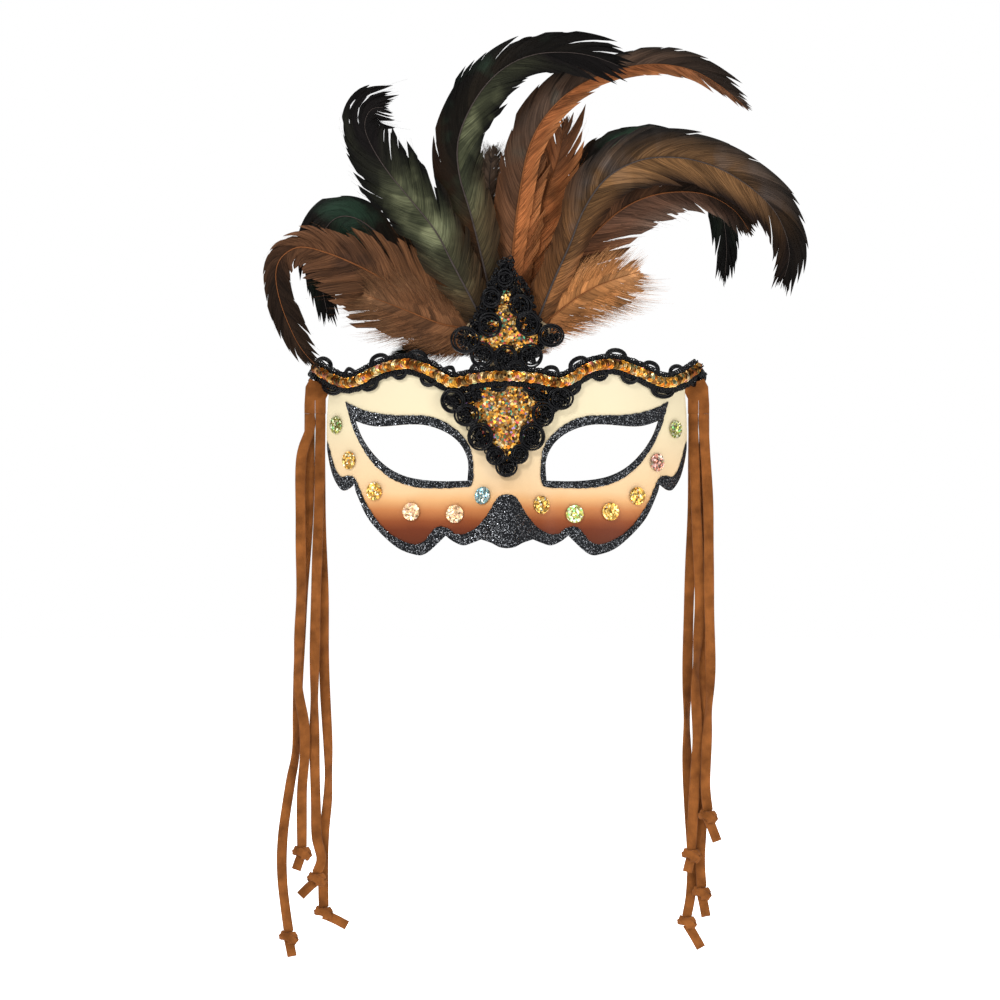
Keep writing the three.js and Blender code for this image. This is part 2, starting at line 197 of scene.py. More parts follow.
# %% A finish, node by node
class Finish:
    """A material built round one Principled shader."""

    def __init__(self, name, **constants):
        self.material = bpy.data.materials.new(name)
        self.material.use_nodes = True
        self.tree = self.material.node_tree
        self.shader = self.tree.nodes["Principled BSDF"]
        for socket, value in constants.items():
            self.shader.inputs[socket.replace("_", " ")].default_value = value

    def node(self, kind, settings=None, sockets=None, output=0):
        made = self.tree.nodes.new(kind)
        for key, value in (settings or {}).items():
            if key == "stops":
                while len(made.color_ramp.elements) < len(value):
                    made.color_ramp.elements.new(0.5)
                for element, (position, colour) in zip(made.color_ramp.elements, value):
                    element.position, element.color = position, (*colour, 1)
            elif key == "interpolation":
                made.color_ramp.interpolation = value
            else:
                setattr(made, key, value)
        for key, value in (sockets or {}).items():
            if isinstance(value, Wire):
                self.tree.links.new(value.socket, made.inputs[key])
            else:
                made.inputs[key].default_value = value
        return Wire(self, made.outputs[output])

    def feed(self, **sockets):
        for key, value in sockets.items():
            self.tree.links.new(value.socket, self.shader.inputs[key.replace("_", " ")])
        return self.material

    def mix(self, factor, a, b, how="MIX"):
        first, second = [c if isinstance(c, Wire) else (*c, 1) for c in (a, b)]
        settings = {"data_type": "RGBA", "blend_type": how}
        return self.node("ShaderNodeMix", settings, {0: factor, 6: first, 7: second}, output=2)

    def multiply(self, a, b):
        return self.mix(1.0, a, b, "MULTIPLY")

    def place(self):
        return self.node("ShaderNodeTexCoord", output="Object")

    def parts(self, vector):
        made = self.node("ShaderNodeSeparateXYZ", None, {0: vector})
        outputs = made.socket.node.outputs
        return [Wire(self, outputs[i]) for i in range(3)]

    def attribute(self, name):
        """The three parts of a vector stored on the mesh."""
        return self.parts(self.node("ShaderNodeAttribute", {"attribute_name": name}, output=1))

    def noise(self, scale, vector=None, detail=2.0):
        sockets = {"Vector": vector or self.place(), "Scale": scale, "Detail": detail}
        return self.node("ShaderNodeTexNoise", None, sockets, output="Fac")

    def cells(self, scale):
        """Random cells, each with one random colour."""
        sockets = {"Vector": self.place(), "Scale": scale}
        return self.node("ShaderNodeTexVoronoi", None, sockets, output="Color")

    def ramp(self, value, stops, interpolation="LINEAR"):
        settings = {"stops": stops, "interpolation": interpolation}
        return self.node("ShaderNodeValToRGB", settings, {"Fac": value})

    def bump(self, height, strength, distance):
        sockets = {"Height": height, "Strength": strength, "Distance": distance}
        return self.node("ShaderNodeBump", None, sockets)

    def vector_math(self, operation, sockets):
        return self.node("ShaderNodeVectorMath", {"operation": operation}, sockets)

    def scattered(self, flakes, amount):
        """The surface's normal, tipped a different way on every flake."""
        tilt = self.vector_math("SUBTRACT", {0: flakes, 1: (0.5, 0.5, 0.5)})
        tilt = self.vector_math("SCALE", {0: tilt, "Scale": amount})
        normal = self.node("ShaderNodeNewGeometry", output="Normal")
        return self.vector_math("NORMALIZE", {0: self.vector_math("ADD", {0: normal, 1: tilt})})


# %% [markdown]
# ## The shell's paint
# The shell is sprayed cream at the brow and shaded through peach to copper brown at the cheeks.
# An airbrush leaves no edge, so the colour is a ramp over height with a slow wander in it. The
# inside is left plain.

# %% Airbrushed paint
SHELL_LOW, SHELL_HIGH = -42 * MM, 42 * MM


# colours by height in millimetres
PAINT_STOPS = [
    (-40, (0.07, 0.014, 0.004)), (-31, (0.115, 0.023, 0.0065)), (-27, (0.2, 0.05, 0.014)),
    (-22, (0.4, 0.15, 0.05)), (-18, (0.56, 0.3, 0.125)), (-14, (0.62, 0.41, 0.22)),
    (-8, (0.63, 0.45, 0.26)), (3, (0.62, 0.485, 0.305)), (14, (0.62, 0.53, 0.35)),
    (34, (0.61, 0.535, 0.37))]
BARE_INSIDE = (0.62, 0.55, 0.42)
PAINT_WANDER = 3 * MM


def height_share(z_mm):
    return (z_mm * MM - SHELL_LOW) / (SHELL_HIGH - SHELL_LOW)


def painted_shell():
    kit = Finish("painted_shell", Roughness=0.4, Specular_IOR_Level=0.14)
    height = kit.parts(kit.place())[2]
    wander = kit.noise(60) - 0.5
    share = (height + wander * PAINT_WANDER - SHELL_LOW) * (1 / (SHELL_HIGH - SHELL_LOW))
    paint = kit.ramp(share, [(height_share(z_mm), colour) for z_mm, colour in PAINT_STOPS])
    normal = kit.parts(kit.node("ShaderNodeNewGeometry", output="Normal"))
    faces_back = normal[1] > 0.15
    colour = kit.mix(faces_back, paint, BARE_INSIDE)
    grain = kit.noise(2600, detail=3)
    return kit.feed(Base_Color=colour, Normal=kit.bump(grain, 0.12, 0.0001))


# %% [markdown]
# ## Glitter, foil and sequins
# Glitter is thousands of tiny mirrors, each tipped its own way. A Voronoi texture gives every
# flake one random colour, and the same colour, read as a direction, tips the flake's normal.

# %% Glitter and foil
def black_glitter():
    kit = Finish("black_glitter", Specular_IOR_Level=0.1)
    flakes = kit.cells(2900)
    chance, grey, _ = kit.parts(flakes)
    sparkle = chance > 0.77
    cool = kit.mix(grey, (0.07, 0.075, 0.08), (0.3, 0.31, 0.33))
    colour = kit.mix(sparkle, (0.004, 0.0045, 0.006), cool)
    rough, normal = 0.5 - sparkle * 0.28, kit.scattered(flakes, 1.1)
    return kit.feed(Base_Color=colour, Roughness=rough, Metallic=sparkle * 0.8, Normal=normal)


# flake colours, and the share of flakes at which each begins
RAINBOW = [(0, (0.9, 0.5, 0.07)), (0.26, (0.95, 0.72, 0.3)), (0.4, (0.35, 0.17, 0.04)),
           (0.58, (0.95, 0.33, 0.03)), (0.72, (0.95, 0.88, 0.66)), (0.83, (0.08, 0.5, 0.45)),
           (0.89, (0.8, 0.12, 0.2)), (0.95, (0.25, 0.2, 0.6))]
# a sequin's own tint by chance, and, from the hole out to the rim, painted shade near the hole and painted
# highlights on the cup and at the rim
SEQUIN_SHADES = [(0, (0.3, 0.22, 0.12)), (0.35, (1, 0.85, 0.6)), (0.6, (0.6, 0.4, 0.25)),
                 (0.8, (1, 0.9, 0.8)), (1, (0.8, 0.6, 0.75))]
SEQUIN_PAINTED_LIGHT_STOPS = [(0.2, (0.1, 0.07, 0.04)), (0.55, (0.8, 0.72, 0.6)), (0.8, (0.34, 0.26, 0.18)),
                    (0.95, (1, 1, 1))]


def hologram(name, flake_scale, stops, tip, shade, per_sequin_tint_and_light=False):
    """Foil flakes of many colours; for sequins it reads each one's own shade and its place out from the
    hole from the mesh, and paints shade near the hole and highlights on the cup and at the rim.
    """
    kit = Finish(name, Metallic=0.85)
    flakes = kit.cells(flake_scale)
    red, green, blue = kit.parts(flakes)
    colour = kit.mix(green * shade, kit.ramp(red, stops, "CONSTANT"), (0.08, 0.045, 0.015))
    if per_sequin_tint_and_light:
        own, reach, _ = kit.attribute("tint")
        colour = kit.multiply(colour, kit.ramp(own, SEQUIN_SHADES, "CONSTANT"))
        # painted light: shade near the hole, highlights on the cup and a bright crescent at the rim
        colour = kit.multiply(colour, kit.ramp(reach, SEQUIN_PAINTED_LIGHT_STOPS))
    return kit.feed(Base_Color=colour, Roughness=0.18 + blue * 0.25, Normal=kit.scattered(flakes, tip))


def foil(name, gold, second, glint):
    shadow = tuple(c * 0.35 for c in gold)
    stops = [(0, gold), (0.4, second), (0.62, shadow), (0.8, glint), (0.92, (0.95, 0.9, 0.7))]
    return hologram(name, 1300, stops, 0.7, 0.5)


# %% [markdown]
# ## Thread, suede and card
# The braid is shiny rayon cord, so it is nearly black with a tight highlight and a fine twist.
# Suede is the other extreme: no gloss, a soft sheen, and a nap that drifts light and dark.

# %% Thread, suede, card and felt
def black_cord():
    kit = Finish("black_cord", Roughness=0.1, Specular_IOR_Level=0.12)
    twist = kit.noise(3200, detail=1)
    tone = kit.mix(twist, (0.001, 0.001, 0.0014), (0.005, 0.005, 0.006))
    return kit.feed(Base_Color=tone, Normal=kit.bump(twist, 0.25, 0.0002))


def tan_suede():
    kit = Finish("tan_suede", Roughness=0.95, Specular_IOR_Level=0.03, Sheen_Weight=0.05,
                 Sheen_Roughness=0.5)
    nap = kit.noise(160, detail=4)
    fibres = kit.noise(3800, detail=3)
    stops = [(0.32, (0.1, 0.033, 0.008)), (0.66, (0.235, 0.08, 0.02))]
    tone = kit.ramp(nap * 0.75 + fibres * 0.25, stops)
    return kit.feed(Base_Color=tone, Normal=kit.bump(fibres, 0.6, 0.00025))


def plain_fibre(name, light, dark, scale=1800):
    kit = Finish(name, Roughness=0.92, Specular_IOR_Level=0.08)
    fibres = kit.noise(scale, detail=5)
    return kit.feed(Base_Color=kit.mix(fibres, dark, light), Normal=kit.bump(fibres, 0.7, 0.0003))


# %% [markdown]
# ## Feather finishes
# A feather's colour runs along its barbs, so every vane carries its own map: the share along the
# shaft, the way out along the barb, and one tone a clump. A noise stretched out along the barbs
# marks them in streaks: partly the barbs' own striation, partly painted shade in the gaps between
# them and painted highlight along them. The finishes differ only in numbers, so one function
# makes them all from a table.

# %% Feather finishes
BLACK, WHITE = (0, 0, 0), (1, 1, 1)


def feather_finish(name, base, heart, edge, tip, gloss, streak_shade, glints=None, down=0.4, inner=0.5,
                   dark_from=0.68):
    kit = Finish(name, Specular_IOR_Level=0.05)
    share, out, tone = kit.attribute("barb")
    stretched = kit.node("ShaderNodeCombineXYZ", None, {0: share * 260, 1: out * 1.6})
    barbs = kit.noise(1.0, stretched, 2)
    broad = kit.noise(38, detail=3)
    vane = kit.ramp(out + (broad - 0.5) * 0.5, [(0, heart), (inner, heart), (0.9, edge)])
    if glints:
        shine = kit.noise(42, detail=3)
        within = kit.ramp(out, [(inner + 0.1, WHITE), (0.95, (0.15, 0.15, 0.15))])
        patches = kit.multiply(kit.ramp(shine, [(0.5, BLACK), (0.66, WHITE)]), within)
        vane = kit.mix(patches, vane, glints)
    downy = kit.ramp(share + (broad - 0.5) * 0.2, [(down - 0.25, WHITE), (down + 0.06, BLACK)])
    ending = kit.ramp(share + (broad - 0.5) * 0.12, [(dark_from, BLACK), (dark_from + 0.24, WHITE)])
    coloured = kit.mix(ending, kit.mix(downy, vane, base), tip)
    # the barbs' own streaks, with painted shade in the gaps between them and painted highlight along them
    barb_light_and_shade = kit.ramp(barbs, [(0.32, (1 - streak_shade,) * 3), (0.66, (1.1, 1.1, 1.1))])
    clumps = kit.ramp(tone, [(0, (0.5, 0.5, 0.5)), (1, (1.3, 1.26, 1.2))])
    colour = kit.multiply(kit.multiply(coloured, barb_light_and_shade), clumps)
    normal = kit.bump(barbs, 0.55, 0.0004)
    return kit.feed(Base_Color=colour, Roughness=gloss + barbs * 0.25, Normal=normal)


# %% The feathers' colours
# base, heart, edge and tip colours, gloss, depth of the streaks' painted shade between the barbs, glints,
# and where down, inner and tip begin
PLUMES = {
    "green": ("green_black_feather", (0.06, 0.034, 0.016), (0.044, 0.049, 0.027),
              (0.002, 0.002, 0.0015), (0.004, 0.003, 0.003), 0.34, 0.65, (0.14, 0.152, 0.086), 0.36, 0.2,
              0.56),
    "dark": ("black_brown_feather", (0.06, 0.026, 0.01), (0.008, 0.006, 0.004), (0.002, 0.0016, 0.0014),
             (0.002, 0.0016, 0.0014), 0.3, 0.5, (0.016, 0.036, 0.023)),
    "bronze": ("bronze_feather", (0.19, 0.075, 0.026), (0.145, 0.074, 0.03), (0.012, 0.006, 0.004),
               (0.006, 0.003, 0.002), 0.34, 0.65, (0.18, 0.1, 0.05), 0.3, 0.45),
    "sheen": ("blue_brown_feather", (0.17, 0.068, 0.023), (0.085, 0.045, 0.02), (0.011, 0.009, 0.0075),
              (0.006, 0.004, 0.003), 0.3, 0.65, (0.08, 0.062, 0.054), 0.3, 0.3),
    "brown": ("brown_feather", (0.17, 0.075, 0.033), (0.1, 0.044, 0.021), (0.12, 0.055, 0.028),
              (0.018, 0.01, 0.006), 0.5, 0.65, (0.035, 0.018, 0.012), 0.4, 0.5, 0.5),
    "down": ("brown_down_feather", (0.22, 0.1, 0.046), (0.15, 0.066, 0.03), (0.26, 0.13, 0.065),
             (0.19, 0.095, 0.047), 0.5, 0.65, (0.06, 0.03, 0.018)),
    "mauve": ("mauve_brown_feather", (0.24, 0.085, 0.027), (0.11, 0.055, 0.035), (0.12, 0.075, 0.055),
              (0.02, 0.012, 0.008), 0.45, 0.65, (0.05, 0.027, 0.018)),
    "rust": ("rust_feather", (0.29, 0.1, 0.033), (0.3, 0.1, 0.034), (0.36, 0.14, 0.052),
             (0.12, 0.053, 0.026), 0.46, 0.65, (0.12, 0.045, 0.016)),
    "gold": ("golden_down_feather", (0.48, 0.2, 0.075), (0.44, 0.185, 0.064), (0.56, 0.28, 0.12),
             (0.5, 0.24, 0.1), 0.5, 0.6, (0.18, 0.075, 0.026)),
    "slate": ("slate_feather", (0.17, 0.07, 0.03), (0.07, 0.043, 0.03), (0.014, 0.011, 0.009),
              (0.03, 0.02, 0.015), 0.32, 0.6, (0.035, 0.055, 0.05)),
    "grey": ("grey_down_feather", (0.2, 0.09, 0.035), (0.12, 0.075, 0.05), (0.22, 0.15, 0.105),
             (0.14, 0.1, 0.075), 0.6, 0.6),
}

# %% All the finishes
PAINT = painted_shell()
GLITTER = black_glitter()
CLOTH_CAST = (0.74, 0.6, 0.42)
CLOTH_STOPS = [(at, tuple(c * k for c, k in zip(colour, CLOTH_CAST))) for at, colour in RAINBOW]
CLOTH = hologram("holographic_cloth", 1050, CLOTH_STOPS, 0.95, 1.0)
SEQUIN_STOPS = RAINBOW[:5] + [(0.86, (0.45, 0.62, 0.45)), (0.94, (0.8, 0.4, 0.5))]
SEQUIN = hologram("gold_sequin", 640, SEQUIN_STOPS, 0.16, 0.5, True)
FOILS = {
    "gold": foil("gold_foil", (0.85, 0.5, 0.1), (0.95, 0.72, 0.25), (0.95, 0.35, 0.05)),
    "pink": foil("pink_gold_foil", (0.9, 0.55, 0.3), (0.97, 0.8, 0.5), (0.95, 0.6, 0.45)),
    "teal": foil("teal_foil", (0.35, 0.6, 0.62), (0.8, 0.9, 0.88), (0.25, 0.6, 0.8)),
    "lime": foil("lime_foil", (0.5, 0.5, 0.12), (0.9, 0.95, 0.6), (0.25, 0.75, 0.25)),
    "rose": foil("rose_foil", (0.5, 0.2, 0.14), (0.9, 0.55, 0.5), (0.7, 0.6, 0.35)),
}
CORD = black_cord()
SUEDE = tan_suede()
CARD = plain_fibre("cream_card", (0.55, 0.42, 0.26), (0.3, 0.22, 0.13))
FELT = plain_fibre("black_felt", (0.03, 0.03, 0.034), (0.008, 0.008, 0.01))
QUILLS = {
    "dark": plain_fibre("dark_quill", (0.07, 0.055, 0.05), (0.02, 0.016, 0.014), 600),
    "rust": plain_fibre("rust_quill", (0.2, 0.07, 0.022), (0.09, 0.032, 0.012), 600),
}
VANES = {key: feather_finish(*look) for key, look in PLUMES.items()}
print("finishes:", len(bpy.data.materials))

# %% [markdown]
# ## Camera, light and floor
# A catalogue view: a long lens square to the mask, soft light from all round with a brighter key
# from the upper left, and a pale floor that glows a little so that it stays even. The camera sees
# a white backdrop, while the mask itself is lit by a much dimmer room.

# %% Camera
VIEW_WIDTH = 0.445
VIEW_CENTRE = Vector((-0.0031, 0, -0.0178))
DISTANCE = 2.2
lens = bpy.data.cameras.new("view")
lens.sensor_width = 36
lens.lens = lens.sensor_width * DISTANCE / VIEW_WIDTH
camera = bpy.data.objects.new("view", lens)
camera.location = VIEW_CENTRE + Vector((0, -DISTANCE, 0))
camera.rotation_euler = (math.radians(90), 0, 0)
bpy.context.scene.collection.objects.link(camera)
bpy.context.scene.camera = camera
print("lens", round(lens.lens), "mm")

# %% Light and floor
FLOOR_Z = -0.25


def soft_light(name, where, target, power, size):
    lamp = bpy.data.lights.new(name, "AREA")
    lamp.energy, lamp.size = power, size
    made = bpy.data.objects.new(name, lamp)
    made.location = where
    made.rotation_euler = (Vector(target) - Vector(where)).to_track_quat("-Z", "Y").to_euler()
    bpy.context.scene.collection.objects.link(made)


# where each lamp stands, where it points, its watts and its size
soft_light("key", (-0.9, -1.5, 1.1), (0, 0, 0), 23.5, 0.5)
soft_light("fill", (1.3, -1.3, 0.4), (0, 0, 0), 11, 0.6)
soft_light("top", (0, 0.5, 1.9), (0, 1.5, 0), 50, 1.6)
soft_light("floor wash", (0, 0.3, 1.2), (0, 0.5, FLOOR_Z), 12, 1.4)

# %% A dim room for the mask and a white backdrop for the camera
ROOM_STRENGTH, BACKDROP_STRENGTH = 0.2, 1.0
world = bpy.data.worlds.new("studio")
world.use_nodes = True
world_nodes = world.node_tree.nodes
world_links = world.node_tree.links
choice = world_nodes.new("ShaderNodeMixShader")
light_path = world_nodes.new("ShaderNodeLightPath")
world_links.new(light_path.outputs["Is Camera Ray"], choice.inputs[0])
backgrounds = (world_nodes["Background"], world_nodes.new("ShaderNodeBackground"))
for socket, (background, strength) in enumerate(zip(backgrounds, (ROOM_STRENGTH, BACKDROP_STRENGTH)), 1):
    background.inputs["Color"].default_value = (1, 1, 1, 1)
    background.inputs["Strength"].default_value = strength
    world_links.new(background.outputs[0], choice.inputs[socket])
world_links.new(choice.outputs[0], world_nodes["World Output"].inputs["Surface"])
bpy.context.scene.world = world
bpy.context.scene.view_settings.view_transform = "Standard"
print("lamps:", len(bpy.data.lights))

# %% The floor
ground = bmesh.new()
bmesh.ops.create_grid(ground, x_segments=1, y_segments=1, size=6)
bmesh.ops.translate(ground, verts=ground.verts, vec=(0, 0, FLOOR_Z))
floor = to_object("floor", ground)
pale = Finish("pale_floor", Roughness=0.95, Specular_IOR_Level=0.1, Emission_Strength=0.95)
white = pale.mix(pale.noise(6), (0.9, 0.9, 0.9), (0.92, 0.92, 0.92))
floor.data.materials.append(pale.feed(Base_Color=white, Emission_Color=white))
bpy.context.scene.collection.objects.link(floor)

# %% [markdown]
# ## The laces
# Each fringe is a folded suede tab cut into four laces, every one ending in an overhand knot
# with a flat tail. A lace is a flat cord of a fixed length that hangs straight under its own
# weight. It could be a bevelled curve, but a flat section that turns needs its own twist, so it
# is a grid rolled into a tube along the lace's route. The top of a lace stays with the tab and
# the rest sways; here each lace is only baked in place and rides on neither body.

# %% Routes of the laces
FRONT_PLY, BACK_PLY = 36, 37.7
LACE_WIDTH, LACE_THICK = 4.6, 1.4
CORD_STATIONS = 36
LACE_TOP, BENT_BY = 21.2, -14
# each lace: its line in x and z, the ply it leaves, the depth it hangs at, and its tail's run
LACES = {
    "left": [
        ([(-89.1, 21.2), (-89.1, 14), (-93, 0), (-93.2, -31), (-93, -62), (-94.6, -98), (-91.6, -119),
          (-91.4, -134), (-92.6, -150), (-92.6, -174.4)], FRONT_PLY, 34, (-2.6, -7.5)),
        ([(-89.3, 21.2), (-89.3, 14), (-89.6, -20), (-92.4, -62), (-94.4, -98), (-95.4, -130),
          (-98, -146), (-101.4, -170), (-101.6, -190), (-98.8, -213)], BACK_PLY, 37.9, (1.6, -8.4)),
        ([(-84.3, 21.2), (-84.3, 14), (-85, -20), (-86.4, -62), (-87, -98), (-87, -130), (-86.4, -155),
          (-86, -170), (-83.9, -180), (-86, -186.4)], FRONT_PLY, 35.9, (-7.4, -7.4)),
        ([(-84.4, 21.2), (-84.4, 14), (-84.4, -20), (-83, -62), (-82.6, -98), (-81, -130), (-81, -150),
          (-82.6, -168), (-83.2, -186), (-83, -202)], BACK_PLY, 39.9, (10.6, -5.6)),
    ],
    "right": [
        ([(84.4, 21.2), (84.4, 14), (84.2, -20), (82.6, -62), (81.8, -98), (81.6, -130), (82.6, -158),
          (84, -180), (83.4, -196), (81.6, -206.4)], BACK_PLY, 41, (6.4, -11.4)),
        ([(84.3, 21.2), (84.3, 14), (85.6, -20), (87.2, -62), (86.2, -84), (85.2, -102), (86.2, -124),
          (85.2, -141), (84.2, -160), (83.4, -175.6)], FRONT_PLY, 35.8, (-1.8, -7.4)),
        ([(89.1, 21.2), (89.1, 14), (91, -20), (91.4, -62), (92, -96), (90.8, -119), (90, -136),
          (89.8, -148), (90.8, -158)], FRONT_PLY, 34, (4.2, -11)),
        ([(89.3, 21.2), (89.3, 14), (89.3, -20), (89.6, -62), (89, -98), (88.2, -130), (88.4, -160),
          (87.6, -180), (88.2, -193)], BACK_PLY, 38.7, (2, -10.4)),
    ],
}


def flat_tube(work, route, width, thick, stations, turn=lambda share: 0, swell=lambda share: 1):
    """A flat cord with soft edges along a route in millimetres, closed at both ends."""
    around = 12
    grid = bmesh.ops.create_grid(work, x_segments=stations, y_segments=around, size=0.5)["verts"]
    for vert in grid:
        share, angle = vert.co.x + 0.5, 2 * math.pi * vert.co.y
        along = route.along(share)
        flat = Vector((0, -1, 0)).cross(along).normalized()
        flat = Matrix.Rotation(turn(share), 3, along) @ flat
        depth = along.cross(flat)
        out = math.copysign(abs(math.cos(angle)) ** 0.45, math.cos(angle)) * width / 2 * swell(share)
        up = math.copysign(abs(math.sin(angle)) ** 0.6, math.sin(angle)) * thick / 2
        vert.co = (route.at(share) + flat * out + depth * up) * MM
    bmesh.ops.remove_doubles(work, verts=grid, dist=1e-6)
    rims = [edge for edge in work.edges if edge.is_boundary]
    bmesh.ops.holes_fill(work, edges=rims, sides=0)


# %% The knot on the end of a lace
KNOT_DROP = 2.6 + 0.35
NECK_FROM = 0.985
WRAP_LINE = [(3.3 * math.cos(0.5 * k), -1.6 * math.sin(0.5 * k), 1.7 - 0.19 * k) for k in range(17)]
OVER_LINE = [(-1.6, 0.2, 2.4), (-1.9, -1.5, 1.4), (0.2, -2.2, 0.2), (2.1, -1.4, -1.3), (1.4, 0.4, -2.2)]
WRAP_WIDTH, OVER_WIDTH, WRAP_THICK = 2.9, 3.6, 1.1


def overhand_knot(name, route, middle, tail):
    """The neck of the lace, a wrap round it, a strand laid over, and the flat tail."""
    work = bmesh.new()
    neck = [route.at(NECK_FROM), route.at(1.0), middle + Vector((0, 0, 0.4))]
    flat_tube(work, Route(neck, 6), LACE_WIDTH * 0.98, LACE_THICK * 0.98, 12,
              swell=lambda share: 1 - 0.4 * share * share)
    wrap, over = [[middle + Vector(point) for point in line] for line in (WRAP_LINE, OVER_LINE)]
    flat_tube(work, Route(wrap, 3), WRAP_WIDTH, WRAP_THICK, 60)
    flat_tube(work, Route(over, 6), OVER_WIDTH, WRAP_THICK, 24)
    run = Vector((tail[0], 0, tail[1]))
    hangs = [middle + Vector((0, 0.2, -0.6)), middle + run * 0.45 + Vector((0, -0.4, 0)), middle + run]
    flat_tube(work, Route(hangs, 8), LACE_WIDTH * 0.95, LACE_THICK, 20)
    bmesh.ops.recalc_face_normals(work, faces=work.faces)
    return to_object(name, work)


LACE_STATIONS = 110
BEND = (Vector((0, 0, LACE_TOP * MM)), Vector((0, 0, BENT_BY * MM)))
lace_rng = random.Random(4)


def swaying_lace(name, route):
    """A lace that turns over once on its way down and wavers a little."""
    twist_at, twist_by = lace_rng.uniform(0.5, 0.8), lace_rng.choice((-0.9, 0.9))
    phase = lace_rng.uniform(0, 6)

    def turn(share):
        return twist_by * math.exp(-((share - twist_at) / 0.07) ** 2) + 0.12 * math.sin(9 * share + phase)

    def swell(share):
        return 1 + 0.03 * math.sin(31 * share + phase)

    work = bmesh.new()
    flat_tube(work, route, LACE_WIDTH, LACE_THICK, LACE_STATIONS, turn, swell)
    bmesh.ops.recalc_face_normals(work, faces=work.faces)
    return to_object(name, work)


for side, laces in LACES.items():
    for number, (line, ply, hang, tail) in enumerate(laces, 1):
        route = Route([(x, ply if i < 2 else hang, z) for i, (x, z) in enumerate(line)])
        lace = place(swaying_lace(f"{side}_suede_lace_{number}", route), (f"{side}_tab", f"{side}_laces"),
                     SUEDE, [f"{side}_lace_{number}"], BEND)
        middle = Vector((line[-1][0], hang, line[-1][1] - KNOT_DROP))
        knot = place(overhand_knot(f"{side}_suede_knot_{number}", route, middle, tail), f"{side}_laces",
                     SUEDE, [f"{side}_knot_{number}"])
        stations = [tuple(route.at(k / CORD_STATIONS) * MM) for k in range(CORD_STATIONS + 1)]
        print(f"{side} lace {number}: {route.length:.0f} mm")

# %% [markdown]
# ## The fringe tabs
# The laces come out of an uncut strip of suede, folded double and glued under the braid. It is
# two plies, each with a slit between its two laces, with softened edges.

# %% Tabs
TAB_TOP, TAB_BOTTOM = 33.0, 21.25
TAB_IN, TAB_OUT = 81.95, 91.55
SLIT, SLIT_HALF, SLIT_TOP = (TAB_IN + TAB_OUT) / 2, 0.1, TAB_BOTTOM + 6
TAB_OUTLINE = [
    (TAB_IN - 1.9, TAB_TOP + 0.6), (TAB_OUT - 2.4, TAB_TOP + 4), (TAB_OUT - 0.5, TAB_TOP + 0.4),
    (TAB_OUT, TAB_BOTTOM + 4), (TAB_OUT, TAB_BOTTOM), (SLIT + SLIT_HALF, TAB_BOTTOM),
    (SLIT + SLIT_HALF, SLIT_TOP), (SLIT - SLIT_HALF, SLIT_TOP), (SLIT - SLIT_HALF, TAB_BOTTOM),
    (TAB_IN, TAB_BOTTOM), (TAB_IN, TAB_TOP - 5), (TAB_IN - 1.5, TAB_TOP - 2)]


def tab_ply(work, sign, middle_y):
    near = (middle_y - LACE_THICK / 2) * MM
    verts = [work.verts.new((sign * x * MM, near, z * MM)) for x, z in TAB_OUTLINE]
    face = work.faces.new(verts)
    bmesh.ops.translate(work, verts=extruded(work, [face]), vec=(0, LACE_THICK * MM, 0))


for side, sign in (("left", -1), ("right", 1)):
    work = bmesh.new()
    for middle_y in (FRONT_PLY + 0.02, BACK_PLY - 0.02):
        tab_ply(work, sign, middle_y)
    bmesh.ops.recalc_face_normals(work, faces=work.faces)
    rim = [edge for edge in work.edges if abs(edge.verts[0].co.y - edge.verts[1].co.y) < 1e-6]
    bmesh.ops.bevel(work, geom=rim, offset=0.08 * MM, offset_type="OFFSET", segments=2, profile=0.5,
                    affect="EDGES", material=-1, clamp_overlap=True)
    tab = to_object(f"{side}_suede_tab", work)
    place(tab, f"{side}_tab", SUEDE, [f"{side}_fringe_tab"])
    print(f"{side} tab faces:", len(tab.data.polygons))

# %% [markdown]
# ## Sheets that follow the face
# The shell, the glitter paint and the cloth panels are all thin sheets that follow one curved
# surface. Each is drawn flat as an outline, filled, sliced into small pieces by cutting planes,
# and only then pushed back onto the curve, so the edges stay exact and the surface smooth.

# %% The shell's surface
SHELL_WALL = 1.6
SHEET_CUT, CLOTH_CUT = 2.0, 1.6
CURL_SQUARE, CURL_FOURTH = 0.002, 4.6e-7
NOSE_HEIGHT, NOSE_HALF_WIDTH = 13, 13
NOSE_TOP, NOSE_FULL = 8, -30


def shell_front(x, z):
    curl = CURL_SQUARE * x ** 2 + CURL_FOURTH * x ** 4
    rise = 1 - ease(z, NOSE_FULL, NOSE_TOP)
    return curl - NOSE_HEIGHT * rise * math.exp(-(x / NOSE_HALF_WIDTH) ** 2) - SHELL_WALL


def curl_slope(x):
    return 2 * CURL_SQUARE * x + 4 * CURL_FOURTH * x ** 3


# %% Outlines as closed loops
def mirrored(points):
    return [(-x, z) for x, z in reversed(points)]


def outline(stretches, pieces=8):
    """One closed loop of smooth stretches that meet at corners."""
    loop = []
    for stretch in stretches:
        loop += [tuple(point) for point in smooth(stretch, pieces)[:-1]]
    return loop


# %% Flat outlines pushed back onto the curve
def flat_fill(loops, cut):
    """The loops filled flat, sliced every `cut` millimetres both ways."""
    work = bmesh.new()
    for loop in loops:
        ring = [work.verts.new((x * MM, 0, z * MM)) for x, z in loop]
        for a, b in zip(ring, ring[1:] + ring[:1]):
            work.edges.new((a, b))
    bmesh.ops.triangle_fill(work, use_beauty=True, use_dissolve=False, edges=work.edges[:],
                            normal=(0, -1, 0))
    for axis in (0, 2):
        values = [vert.co[axis] for vert in work.verts]
        low, high = min(values), max(values)
        across = Vector((axis == 0, 0, axis == 2))
        for k in range(1, math.ceil((high - low) / (cut * MM))):
            at = low + k * cut * MM
            bmesh.ops.bisect_plane(work, geom=work.verts[:] + work.edges[:] + work.faces[:], dist=1e-6,
                                   plane_co=across * at, plane_no=across)
    for face in work.faces:
        face.normal_update()
        if face.normal.y > 0:
            face.normal_flip()
    return work


